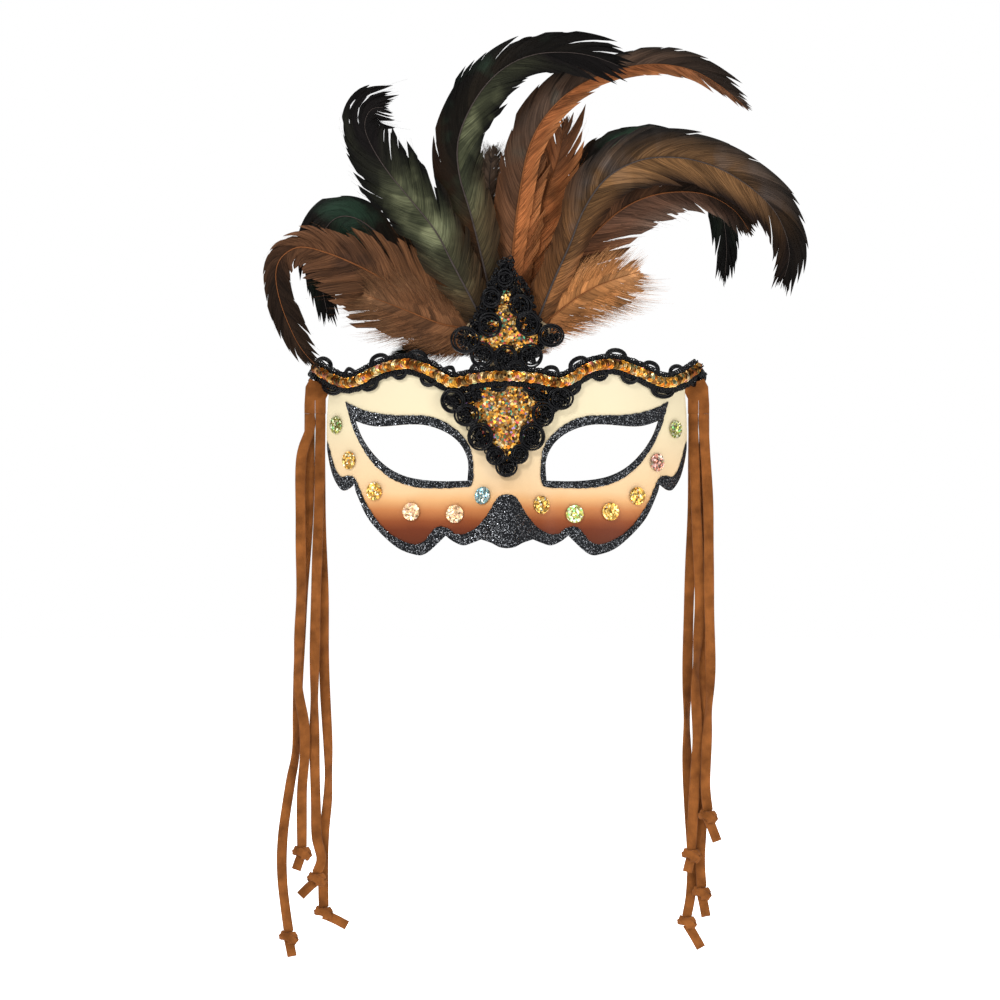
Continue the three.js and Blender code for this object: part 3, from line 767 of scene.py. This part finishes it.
def sheet(name, loops, near, far, cut, base=shell_front):
    """A closed sheet between two heights in front of a surface; far may depend on x and z."""
    work = flat_fill(loops, cut)
    height = far if callable(far) else lambda x, z: far
    for vert in work.verts:
        x, z = vert.co.x / MM, vert.co.z / MM
        vert.co.y = (base(x, z) - height(x, z)) * MM
    for vert in extruded(work, work.faces[:]):
        vert.co.y = (base(vert.co.x / MM, vert.co.z / MM) - near) * MM
    bmesh.ops.recalc_face_normals(work, faces=work.faces)
    return to_object(name, work, 50)


# %% Outlines of the shell, right half from the middle outwards
TOP_EDGE = [(0, 37.4), (13, 36.4), (25, 34.6), (36, 40.6), (47, 42.9), (58, 40), (70, 34.8), (79, 37),
            (87.6, 42.4)]
TEMPLE_TIP = [(87.6, 42.4), (88.4, 39.6), (86.4, 37.4), (82.4, 36.6), (80.6, 34.4), (80.4, 30)]
SIDE_LOBE = [(80.4, 30), (81.2, 18), (81, 4), (78.6, -6.5), (75, -12.7), (72, -13.4), (68.5, -11)]
CHEEK_LOBE = [(68.5, -11), (67.2, -15.5), (61.5, -27), (50.5, -38), (42, -41.9), (36, -41.6), (27.3, -33.7)]
SMALL_LOBE = [(27.3, -33.7), (24, -36.2), (19.5, -38), (15.5, -36.9), (11.5, -35.3)]
NOSE_LOBE = [(11.5, -35.3), (7, -36.8), (3.5, -38.6), (0, -39.2)]
EYE_UPPER = [(17.6, -9.2), (17.3, -1), (19.5, 5.1), (23.5, 9.8), (29.3, 13.3), (36.5, 15.5),
             (44.3, 15.8), (56, 15), (62.3, 15.7), (67.8, 17.6)]
EYE_LOWER = [(67.8, 17.6), (64.9, 10.4), (60, 3.2), (53.5, -3), (46.3, -6.8), (38.8, -8.6),
             (29.3, -9.4), (17.6, -9.2)]
TIE_HOLE = Vector((81.5, 39.6))
TIE_HOLE_RADIUS = 1.6


def whole(half):
    return half + [mirrored(stretch) for stretch in reversed(half)]


def flipped(loop, sign):
    return [(sign * x, z) for x, z in loop]


EYE = outline([EYE_UPPER, EYE_LOWER])
tie_hole = [tuple(TIE_HOLE + TIE_HOLE_RADIUS * Vector((math.cos(a), math.sin(a))))
            for a in [k * math.pi / 12 for k in range(24)]]
edge_loop = outline(whole([TOP_EDGE, TEMPLE_TIP, SIDE_LOBE, CHEEK_LOBE, SMALL_LOBE, NOSE_LOBE]))
holes = [flipped(loop, sign) for loop in (EYE, tie_hole) for sign in (-1, 1)]
shell = sheet("moulded_shell", [edge_loop, *holes], -SHELL_WALL, 0, SHEET_CUT)
place(shell, "mask", PAINT, ["mask_shell"])
print("shell faces:", len(shell.data.polygons))

# %% [markdown]
# ## Glitter paint
# A thick line of black glitter glue runs round each eye, drawn out to a point at the outer
# corner, and along the lower edge, and it covers the tip of the nose. It stands a little proud,
# so it is its own thin sheet with a hand-laid, slightly wavering inner edge.

# %% Glitter round the eyes and along the edge
EYE_LINE_UPPER = [(14.9, -8), (15.2, 0), (16.8, 6.5), (21.5, 12.6), (28.5, 17.4), (36, 19.6), (44, 20),
                  (52, 20.2), (61, 21.6), (67, 23.6), (72.6, 26.4)]
EYE_LINE_LOWER = [(72.6, 26.4), (70.6, 19), (67.4, 10.4), (63.2, 3), (58.4, -3), (51.6, -8.3),
                  (44, -11.4), (36, -12.5), (27, -12.6), (19, -12.2), (16, -11.4), (14.9, -8)]
EDGE_INNER = [(81.1, 9), (79.1, 2), (77.4, -3.4), (74.6, -7.2), (71.4, -6.8), (68.4, -8), (65.8, -13.2),
              (63.2, -19), (58.8, -26), (53.6, -31.6), (48.6, -35.2), (42, -37.6), (37.2, -36.4),
              (33.4, -31.8), (30.2, -29.6), (25.8, -30.6), (23, -32.8), (18.4, -32.7), (13.6, -30),
              (10.2, -26.2), (7.2, -21.6), (4.7, -17.4), (2.6, -15.7), (0, -15.2)]
EDGE_OUTER_SIDE = [(81.1, 9), (81, 4), (78.6, -6.5), (75, -12.7), (72, -13.4), (68.5, -11)]
PAINT_HEIGHT = 0.45
EDGE_LIP = 0.12


def wavering(loop, seed, amount=0.16):
    rng = random.Random(seed)
    return [(x + rng.uniform(-amount, amount), z + rng.uniform(-amount, amount)) for x, z in loop]


eye_line = outline([EYE_LINE_UPPER, EYE_LINE_LOWER])
for side, sign in (("left", -1), ("right", 1)):
    loops = [flipped(wavering(eye_line, 5 + sign), sign), flipped(EYE, sign)]
    eye_glitter = sheet(f"{side}_eye_glitter", loops, EDGE_LIP, PAINT_HEIGHT, SHEET_CUT)
    place(eye_glitter, "mask", GLITTER)
inner = wavering([tuple(p) for p in smooth(EDGE_INNER, 8)], 11)
inner[0], inner[-1] = EDGE_INNER[0], EDGE_INNER[-1]
outer = outline([EDGE_OUTER_SIDE, CHEEK_LOBE, SMALL_LOBE, NOSE_LOBE])
band_loop = outer + [NOSE_LOBE[-1]] + mirrored(outer)
band_loop += flipped(inner[1:], -1) + inner[-2:0:-1]
band = sheet("edge_and_nose_glitter", [band_loop], EDGE_LIP, PAINT_HEIGHT, SHEET_CUT)
place(band, "mask", GLITTER)
print("glitter faces along the edge:", len(band.data.polygons))

# %% Foil dots take a better finish on the frame's own discs
def refinish(node, finish):
    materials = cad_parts[node].data.materials
    materials.clear()
    materials.append(finish)


DOT_FOILS = {"left": ("lime", "gold", "gold", "pink", "pink", "teal"),
             "right": ("gold", "lime", "gold", "gold", "rose", "lime")}
for side, tints in DOT_FOILS.items():
    for number, tint in enumerate(tints, 1):
        refinish(f"foil_dot_{side}_{number}", FOILS[tint])
print("foil dots:", sum(len(tints) for tints in DOT_FOILS.values()))

# %% [markdown]
# ## Cloth panels
# Two pieces of holographic cloth are glued down over shaped card, so they crown in the middle.
# They are the same kind of sheet: one lies on the shell and one on the flat card.

# %% Crowned cloth
CLOTH_THICK = 0.5


def crown(middle_z, half_width, half_height, height):
    def at(x, z):
        across, up = x / half_width, (z - middle_z) / half_height
        return CLOTH_THICK + height * math.exp(-across ** 2 - up ** 2)
    return at


def flat(x, z):
    return 0


CENTRE_PANEL = [(0, 35), (12, 34), (21, 31), (19, 21), (13, 12), (7, 3), (0, -2)]
CREST_PANEL = [(0, 80), (4, 76), (8, 67), (15, 59), (19, 53), (12, 48), (0, 46)]
for name, half, crowned, base, node in (
        ("centre_cloth_panel", CENTRE_PANEL, crown(20, 13, 13, 1.9), shell_front, "centre_cloth"),
        ("crest_cloth_panel", CREST_PANEL, crown(57, 9, 11, 1.7), flat, "crest_cloth")):
    panel = sheet(name, [outline([half, mirrored(half)])], 0.0, crowned, CLOTH_CUT, base)
    place(panel, "mask", CLOTH, [node])
    print(name, "faces:", len(panel.data.polygons))

# %% [markdown]
# ## Looped cord
# The black trims are chair cord: rings of double cord, filled with bouclé, a cord that curls in
# tiny loops all the way. A point going round a small circle while its centre moves along a line
# draws exactly that.

# %% Where the rings and the filling lie
CORD_RADIUS = 0.5
BOUCLE_RADIUS = 0.33
RING_CORDS = ((0, 2.9), (0.95, 2.8))    # inset and depth of each of a ring's two cords
HEAP_INSET, HEAP_DEPTH = 1.5, 2.3
FILL_PITCH, FILL_RADIUS, FILL_DEPTH = 1.7, 2.1, 1.8
CREST_RINGS = [(-0.9, 81, 3.6), (-7, 72.3, 4.1), (5.9, 68.6, 4.8), (-7.7, 60.1, 5.2), (9.3, 60.7, 5.2),
               (-18.6, 53.4, 5.9), (19.6, 55.3, 5.2), (-11.1, 46.6, 5.2), (-0.6, 45.2, 5.4),
               (10.7, 46.3, 5)]
CREST_FILL = [[(-20, 53), (-14, 51), (-8, 47), (0, 45), (9, 46), (15, 51), (21, 55)],
              [(-12, 57), (-9, 64), (-5, 71), (-3, 77), (-0.5, 82), (1.5, 77), (5, 70), (9, 64), (14, 58)],
              [(-15, 60), (-10.5, 67.5), (-7.5, 76), (-4, 82)],
              [(13.5, 60), (10, 69), (7.5, 76), (3.5, 82)],
              [(-2, 87), (-3, 82), (1, 84), (1.5, 87.4), (-1, 88)]]
CENTRE_RINGS = [(-24, 26.3, 5.2), (23.9, 27.4, 5.1), (-17.9, 19.9, 5), (16, 20.5, 5),
                (-11.8, 10.3, 5.6), (11.2, 10.3, 5.6), (-5.2, 1.8, 3.8), (5.6, 2.6, 3.8), (-0.2, -3, 4.4)]
CENTRE_FILL = [[(-26, 27), (-21, 23), (-16, 16), (-11, 9), (-5, 2), (-0.2, -4), (5, 3), (11, 9),
                (15, 17), (20, 23), (26, 28)],
               [(-22, 29), (-16, 27.5), (-12, 29)], [(12, 29), (16, 27.5), (22, 29)]]


# %% Rings, heaps and bouclé
def ring_cord(x, z, radius, depth, base, rng):
    """One turn and a bit of cord, a little oval, its ends laid over each other."""
    start, oval, tilt = rng.uniform(0, 6), rng.uniform(-0.08, 0.08), rng.uniform(-0.3, 0.3)
    points = []
    for k in range(45):
        angle = start + k * 2 * math.pi / 40
        px = x + radius * (1 + oval) * math.cos(angle)
        pz = z + radius * (1 - oval) * math.sin(angle)
        points.append((px, base(px, pz) - depth - tilt * math.cos(angle) - 0.012 * k, pz))
    return points


def tangle(x, z, radius, depth, base, rng):
    """Tiny tipped loops of cord heaped inside a ring."""
    loops = []
    for _ in range(round(1.3 * radius ** 2)):
        away, turn = radius * math.sqrt(rng.random()), rng.uniform(0, 6.3)
        size = rng.uniform(0.6, 1.15)
        lean = Matrix.Rotation(rng.uniform(0.2, 1.2), 3, Vector((math.cos(turn), 0, math.sin(turn))))
        middle = Vector((x + away * math.cos(turn * 3), 0, z + away * math.sin(turn * 3)))
        middle.y = base(middle.x, middle.z) - depth - rng.uniform(-0.7, 0.5)
        loops.append([tuple(middle + lean @ Vector((size * math.cos(a), 0, size * math.sin(a))))
                      for a in [k * 0.7 for k in range(10)]])
    return loops


def boucle(line, loop, pitch, depth, rng, steps=9):
    """A cord that curls in tiny loops along a line."""
    turns = max(2, round(line.length / pitch))
    drift = [rng.uniform(-0.45, 0.45) for _ in range(turns + 1)]
    points = []
    for k in range(turns * steps + 1):
        share, angle = k / (turns * steps), 2 * math.pi * k / steps
        size = loop * (1 + 0.35 * drift[k // steps])
        centre = line.at(share)
        px = centre.x + size * math.cos(angle) + drift[k // steps] * 0.5
        pz = centre.y + size * math.sin(angle)
        away = depth + 0.55 * math.sin(angle + 1) + 0.3 * drift[k // steps]
        points.append((px, shell_front(px, pz) - away, pz))
    return points


# %% Make the trims
def trim(name, rings, fills, base, node):
    rng = random.Random(len(name))
    cords, curls = [], []
    for x, z, radius in rings:
        for inset, depth in RING_CORDS:
            cords.append(ring_cord(x, z, radius - inset, depth, base, rng))
        curls += tangle(x, z, radius - HEAP_INSET, HEAP_DEPTH, base, rng)
    for points in fills:
        line = Route(points)
        heaps = round(line.length / FILL_PITCH)
        for k in range(heaps + 1):
            heap = line.at(k / heaps)
            curls += tangle(heap.x, heap.y, FILL_RADIUS, FILL_DEPTH, base, rng)
    place(cord_object(name, cords, CORD_RADIUS), "mask", CORD, [node])
    place(cord_object(f"{name}_boucle", curls, BOUCLE_RADIUS, sides=1), "mask", CORD)
    print(f"{name}: {len(cords)} cords, {len(curls)} curls")


trim("crest_cord_trim", CREST_RINGS, CREST_FILL, flat, "crest_trim")
trim("centre_cord_trim", CENTRE_RINGS, CENTRE_FILL, shell_front, "centre_trim")

# %% [markdown]
# ## The looped braid and its sequins
# The braid swings to either side of the mask's top edge in open loops of double cord, with
# bouclé along both sides. Cup sequins overlap like roof tiles down its middle, each sewn
# through its hole.

# %% The looped braid
EDGE = Route(mirrored(TOP_EDGE)[:-1] + TOP_EDGE)
LOOP_PITCH = 15
BRAID_CORD = 0.56
SWINGS = ((6.7, -1.7, 1.5), (5.75, -1.35, 1.8))    # reach, bulge and depth of each cord
BOUCLE_ROWS = (-3.6, -2.9, -2.1, 2.1, 2.9, 3.6)
BOUCLE_LOOP, BOUCLE_PITCH, BOUCLE_DEPTH = 0.9, 1.05, 1.7
braid_rng = random.Random(8)


def beside_edge(share, offset, depth):
    centre, along = EDGE.at(share), EDGE.along(share)
    x, z = centre.x - along.y * offset, centre.y + along.x * offset
    return (x, shell_front(x, z) - depth, z)


def swinging(reach, bulge, depth):
    count = round(EDGE.length * 2)
    waves = round(EDGE.length / LOOP_PITCH)
    points = []
    for k in range(count + 1):
        share = k / count
        angle = 2 * math.pi * waves * share
        share += bulge * math.sin(2 * angle) / EDGE.length
        points.append(beside_edge(share, reach * math.sin(angle), depth + 0.3 * math.cos(angle)))
    return points


# %% Make the braid
def tuft(sign, x, z):
    """A loose end of cord at the end of the braid."""
    uniform, y = braid_rng.uniform, shell_front(x, z) - 1.5
    points = [(sign * (x + uniform(-0.5, 1.2) * j), y + uniform(-0.6, 0.6) * j, z + uniform(-1.4, 0.8) * j)
              for j in range(4)]
    return [tuple(point) for point in smooth(points, 4)]


swings = [swinging(*swing) for swing in SWINGS]
looped = cord_object("looped_braid_cord", swings, BRAID_CORD)
place(looped, "mask", CORD, ["looped_braid"])
curls = []
for offset in BOUCLE_ROWS:
    row = Route([beside_edge(k / 60, offset, 0)[::2] for k in range(61)], 3)
    curls.append(boucle(row, BOUCLE_LOOP, BOUCLE_PITCH, BOUCLE_DEPTH, braid_rng))
for sign in (-1, 1):
    for _ in range(12):
        curls.append(tuft(sign, 86.5 + braid_rng.uniform(-1, 1), 38 + braid_rng.uniform(-1, 6)))
fuzz = cord_object("looped_braid_boucle", curls, BOUCLE_RADIUS, sides=1)
place(fuzz, "mask", CORD)
print("strands of the braid:", len(swings) + len(curls))

# %% Cup sequins
SEQUIN_RADIUS, SEQUIN_HOLE, SEQUIN_CUP, SEQUIN_PITCH = 2.35, 0.5, 0.45, 1.95
SEQUIN_STEPS, SEQUIN_FOIL, SEQUIN_DEPTH = 14, 0.14, 3.35
SEQUIN_TIP, SEQUIN_LEAN = (20, 30), (-14, 14)


def sequin(work, tint, place_at):
    profile = [(SEQUIN_RADIUS, 0), (SEQUIN_RADIUS * 0.55, SEQUIN_CUP), (SEQUIN_HOLE, SEQUIN_CUP)]
    back = [(r, h + SEQUIN_FOIL) for r, h in reversed(profile)]
    ring = [work.verts.new((r * MM, 0, h * MM)) for r, h in profile + back]
    edges = [work.edges.new((a, b)) for a, b in zip(ring, ring[1:] + ring[:1])]
    bmesh.ops.spin(work, geom=ring + edges, cent=(0, 0, 0), axis=(0, 0, 1), dvec=(0, 0, 0),
                   angle=2 * math.pi, steps=SEQUIN_STEPS, use_merge=True, use_duplicate=False)
    work.faces.ensure_lookup_table()
    made = {vert for face in work.faces[-SEQUIN_STEPS * len(ring):] for vert in face.verts}
    own = braid_rng.random()
    for vert in made:
        # the second value, the distance out from the hole, places the painted shade and painted highlights
        # across the cup
        vert[tint] = (own, vert.co.xy.length / (SEQUIN_RADIUS * MM), 0)
    bmesh.ops.transform(work, matrix=place_at, verts=list(made))


def sequin_strip():
    work = bmesh.new()
    tint = work.verts.layers.float_vector.new("tint")
    count = round(EDGE.length / SEQUIN_PITCH)
    for k in range(count):
        share = (k + 0.5) / count
        position = Vector(beside_edge(share, braid_rng.uniform(-0.25, 0.25), SEQUIN_DEPTH)) * MM
        along = EDGE.along(share)
        slope = curl_slope(EDGE.at(share).x)
        forward = Vector((along.x, slope, along.y)).normalized()
        across = Vector((slope, -1, 0)).normalized().cross(forward).normalized()
        facing = forward.cross(across)
        on_braid = Matrix((forward, across, facing)).transposed().to_4x4()
        tip = math.radians(braid_rng.uniform(*SEQUIN_TIP)) * math.copysign(1, -position.x)
        lean = math.radians(braid_rng.uniform(*SEQUIN_LEAN))
        turned = Matrix.Rotation(tip, 4, "Y") @ Matrix.Rotation(lean, 4, "X")
        sequin(work, tint, Matrix.Translation(position) @ on_braid @ turned)
    bmesh.ops.recalc_face_normals(work, faces=work.faces)
    print("sequins:", count)
    return to_object("sequins", work)


place(sequin_strip(), "mask", SEQUIN, ["sequin_band"])

# %% [markdown]
# ## Feathers
# A vane is two rows of barbs that leave the shaft at a slant, hold together in clumps and part
# at the edge. Hair strands would be the nearest thing, but they are heavy and do not carry over,
# so each clump of barbs is one thin curved sheet: a small grid, bent along the shaft's own
# curve, with its outer rows drawn together. Loose wisps are the same sheet, one row wide.

# %% Where each feather lies
GAP, CARD_WALL = 0.35, 1.2
FEATHER_PITCH, FEATHER_SPREAD, FEATHER_RIM = 0.85, 3.6, 150
FIRST_LAYER = GAP + CARD_WALL + GAP + FEATHER_PITCH / 2
TIGHT = {"clump": 12, "gather": 0.04, "ragged": 0.05, "slant": 2.3, "wisps": 160, "split": 0.1}
PARTED = {"clump": 8, "gather": 0.1, "ragged": 0.14, "slant": 1.7, "wisps": 300, "split": 0.28}
LOOSE = {"clump": 4, "gather": 0.5, "ragged": 0.4, "slant": 1.2, "wisps": 1900, "split": 0.3}
# each feather: its name and slot, width, where it is widest, how wide it stays, the share of each
# side, its habit, its finishes (left, right, quill) and its shaft; the first lies in front
FEATHERS = [
    ("left_green", "green", 32, 0.42, 0.75, (1, 1), PARTED, ("green", "green", "dark"),
     [(-5, 46), (-12, 64), (-24, 87), (-32, 102), (-44, 117), (-53, 128), (-60, 139), (-63, 148),
      (-60, 155), (-53, 156)]),
    ("right_bronze_arc", "brown", 24, 0.42, 0.75, (1.1, 1), TIGHT, ("sheen", "bronze", "dark"),
     [(7, 46), (14, 63), (20, 78), (28, 96), (34, 111), (44, 125), (59, 133), (76, 134), (92, 130),
      (106, 122), (117, 112), (123, 101), (125, 90), (122, 78)]),
    ("right_fluff", "orange", 30, 0.5, 0.7, (0.9, 1.15), LOOSE, ("gold", "gold", "rust"),
     [(7, 47), (12, 56), (24, 67), (39, 77), (59, 84)]),
    ("top_green_arc", "green", 24, 0.35, 0.8, (1, 1), TIGHT, ("dark", "green", "dark"),
     [(-2, 46), (-5, 63), (-10, 85), (-16, 109), (-21, 126), (-22, 140), (-18, 153), (-10, 166),
      (0, 175), (12, 180), (26, 181), (39, 179), (52, 174)]),
    ("left_fluff", "brown", 30, 0.45, 0.7, (1.1, 1), LOOSE, ("down", "down", "rust"),
     [(-7, 47), (-14, 57), (-30, 61), (-48, 68), (-64, 74)]),
    ("left_long_arc", "brown", 40, 0.24, 0.34, (1.2, 1), PARTED, ("brown", "brown", "rust"),
     [(-9, 46), (-14, 57), (-30, 68), (-49, 77), (-63, 85), (-79, 92), (-92, 95), (-100, 91),
      (-103, 84), (-102, 74), (-98, 62), (-92, 50), (-84, 41)]),
    ("right_brown_low", "brown", 34, 0.38, 0.5, (1, 1), PARTED, ("brown", "mauve", "rust"),
     [(8, 46), (13, 62), (24, 82), (38, 100), (53, 113), (69, 119), (87, 119), (101, 112), (109, 101)]),
    ("right_long_arc", "dark", 17, 0.35, 0.65, (1.4, 0.85), TIGHT, ("slate", "rust", "rust"),
     [(3, 46), (1, 63), (2, 85), (4, 107), (7, 127), (10, 140), (16, 152), (26, 163), (39, 171),
      (55, 176), (70, 177), (84, 174), (96, 167), (108, 157)]),
    ("orange_centre", "orange", 24, 0.45, 0.8, (1, 1), PARTED, ("rust", "rust", "rust"),
     [(2, 46), (2, 62), (3, 89), (6, 114), (11, 134)]),
    ("left_black_arc", "dark", 22, 0.5, 0.6, (1, 1), TIGHT, ("dark", "dark", "dark"),
     [(-7, 46), (-14, 60), (-25, 71), (-36, 81), (-47, 92), (-57, 101), (-67, 108), (-75, 109),
      (-81, 104), (-84, 94), (-83, 79), (-80, 64)]),
    ("orange_upright", "orange", 27, 0.5, 0.8, (1, 1), PARTED, ("rust", "rust", "rust"),
     [(4, 46), (5, 62), (10, 93), (17, 118), (23, 136), (26, 153)]),
    ("grey_down", "brown", 22, 0.5, 0.8, (1, 1), LOOSE, ("grey", "grey", "dark"),
     [(0, 46), (-3, 63), (-5, 93), (-8, 120), (-6, 142)]),
    ("left_dark_short", "dark", 24, 0.5, 0.8, (1, 1), PARTED, ("dark", "dark", "dark"),
     [(-8, 46), (-12, 61), (-22, 76), (-33, 86), (-43, 91)]),
    ("left_low_dark", "dark", 12, 0.5, 0.7, (1, 1), LOOSE, ("dark", "dark", "dark"),
     [(-9, 45), (-16, 50), (-28, 52), (-40, 50), (-52, 45)]),
    ("right_black_arc", "dark", 22, 0.45, 0.6, (1, 1), TIGHT, ("dark", "dark", "dark"),
     [(5, 46), (10, 63), (18, 93), (29, 120), (43, 136), (58, 141), (74, 138), (88, 129), (96, 115),
      (99, 98), (98, 80)]),
]


# %% Depth and width of a feather
def layer_y(layer, x, z):
    spread = FEATHER_SPREAD * (math.hypot(x, z - 46) / FEATHER_RIM) ** 2
    return FIRST_LAYER + layer * FEATHER_PITCH + (layer - len(FEATHERS) * 0.4) * spread


def vane_width(share, width, peak, tail):
    swell = 0.4 + 0.6 * ease(share, 0.0, peak)
    narrowing = 1 - (1 - tail) * ease(share, peak, peak + 0.35)
    point = math.sqrt(1 - ease(share, 0.72, 1))
    return width * swell * narrowing * point


# %% Barbs, clumps and vanes
BARB_STEPS = 6
ROW_PITCH = 0.9
VANE_THICK = 0.12


class Vane:
    """The barbs of one feather, laid in clumps down both sides of its shaft."""

    def __init__(self, layer, shape, sides, habit, line, seed):
        self.layer, self.shape, self.sides, self.habit = layer, shape, sides, habit
        self.shaft = Route(line)
        self.rng = random.Random(seed)
        self.work = bmesh.new()
        self.barb = self.work.verts.layers.float_vector.new("barb")
        self.wave = [self.rng.uniform(0, 6) for _ in range(2)]

    def reach(self, share, side):
        full = vane_width(share, *self.shape) / 2 * self.sides[side < 0]
        ripple = 0.08 * math.sin(share * 21 + self.wave[0]) + 0.05 * math.sin(share * 47 + self.wave[1])
        return full * (1 + ripple)

    def clump(self, side, share, span, rows, gather, size, slant, lift, curl=0.0, start=0.0):
        """One thin sheet of barbs from the shaft outwards."""
        grid = bmesh.ops.create_grid(self.work, x_segments=rows, y_segments=BARB_STEPS, size=0.5)["verts"]
        length, tone = self.shaft.length, self.rng.random()
        full = self.reach(share, side) * size
        for vert in grid:
            row, out = vert.co.x * 2, start + (vert.co.y + 0.5) * (1 - start)
            root = share + row / 2 * span * 1.1
            root += -row / 2 * span * (gather + 0.1) * out ** 1.5
            at = root + (slant * full * out ** 1.35) / length
            wide = side * full * out * (1 - 0.1 * gather * row * row * out)
            centre, along = self.shaft.at(at), self.shaft.along(min(at, 0.99))
            x = centre.x - along.y * wide
            z = centre.y + along.x * wide
            bend = 0.1 * full * out ** 2 + 0.35 * math.sin(at * 17 + self.wave[0]) * out
            depth = layer_y(self.layer, x, z) + bend + lift * out + curl * out ** 3
            vert[self.barb] = (root, out, tone)
            vert.co = (x * MM, depth * MM, z * MM)
        for face in {face for vert in grid for face in vert.link_faces}:
            face.material_index = int(side < 0)

    def slant(self, share):
        return self.habit["slant"] * (0.55 + 0.45 * ease(share, 0.1, 0.5) + 0.6 * ease(share, 0.6, 1))

    def fill(self):
        habit, rng, length = self.habit, self.rng, self.shaft.length
        for side in (1, -1):
            for behind in (0, 1):
                share = 0.02 + 0.015 * behind
                while share < 0.985:
                    span = habit["clump"] * rng.uniform(0.5, 1.5) / length
                    span *= 1 - 0.7 * ease(share, 0.8, 1)
                    middle = share + span / 2
                    rows = max(2, round(span * length / ROW_PITCH))
                    parts = rng.random() < habit["split"]
                    gather = 0.5 if parts else habit["gather"] * rng.uniform(0.2, 1.4)
                    size = (1.04 - habit["ragged"] / 2) * (1 - 0.08 * behind)
                    size *= 1 - habit["ragged"] * rng.random()
                    self.clump(side, middle, span, rows, gather, size, self.slant(middle),
                               0.3 * behind + rng.uniform(-0.12, 0.12))
                    share += span * 0.97
            for _ in range(habit["wisps"] // 2):
                at = rng.random() ** 1.5 * 0.95 + 0.02
                span = rng.uniform(0.2, 0.5) / length
                downy = 1 - ease(at, 0.15, 0.45)
                longest = 1.06 + habit["ragged"] * (0.5 + 0.9 * downy)
                self.clump(side, at, span, 1, 0.85, rng.uniform(0.8, longest),
                           self.slant(at) * rng.uniform(0.6, 1.25) * (1 - 0.4 * downy * rng.random()),
                           rng.uniform(-0.5, 0.3), rng.uniform(-1.5, 1.2) * habit["ragged"], 0.35)

    def object(self, name):
        fronts = extruded(self.work, self.work.faces[:])
        bmesh.ops.translate(self.work, verts=fronts, vec=(0, -VANE_THICK * MM, 0))
        bmesh.ops.recalc_face_normals(self.work, faces=self.work.faces)
        return to_object(name, self.work, 60)


# %% The quills
QUILL_RADIUS, QUILL_PROUD, QUILL_END = 0.52, 0.42, 0.985


def quill(name, shaft, layer):
    """The shaft itself, proud of the vane and drawn out to a point."""
    points = []
    for k in range(81):
        at = shaft.at(k / 80 * QUILL_END)
        points.append((at.x, layer_y(layer, at.x, at.y) - QUILL_PROUD, at.y))
    return cord_object(name, [points], QUILL_RADIUS, taper=lambda share: 1 - 0.85 * share)


# %% Make every feather
FIRST_SEED = 30
total = 0
for layer, (name, slot, width, peak, tail, sides, habit, looks, line) in enumerate(FEATHERS):
    vane = Vane(layer, (width, peak, tail), sides, habit, line, FIRST_SEED + layer)
    vane.fill()
    feather = vane.object(f"feather_vane_{name}")
    total += len(feather.data.polygons)
    feather.data.materials.append(VANES[looks[0]])
    place(feather, "mask", VANES[looks[1]], [f"feather_{name}"])
    shaft = quill(f"feather_shaft_{name}", vane.shaft, layer)
    place(shaft, "mask", QUILLS[looks[2]])
print("feather faces:", total)

# %% Card and felt take a better finish on the frame's own pieces
refinish("crest_card", CARD)
refinish("quill_pad", FELT)
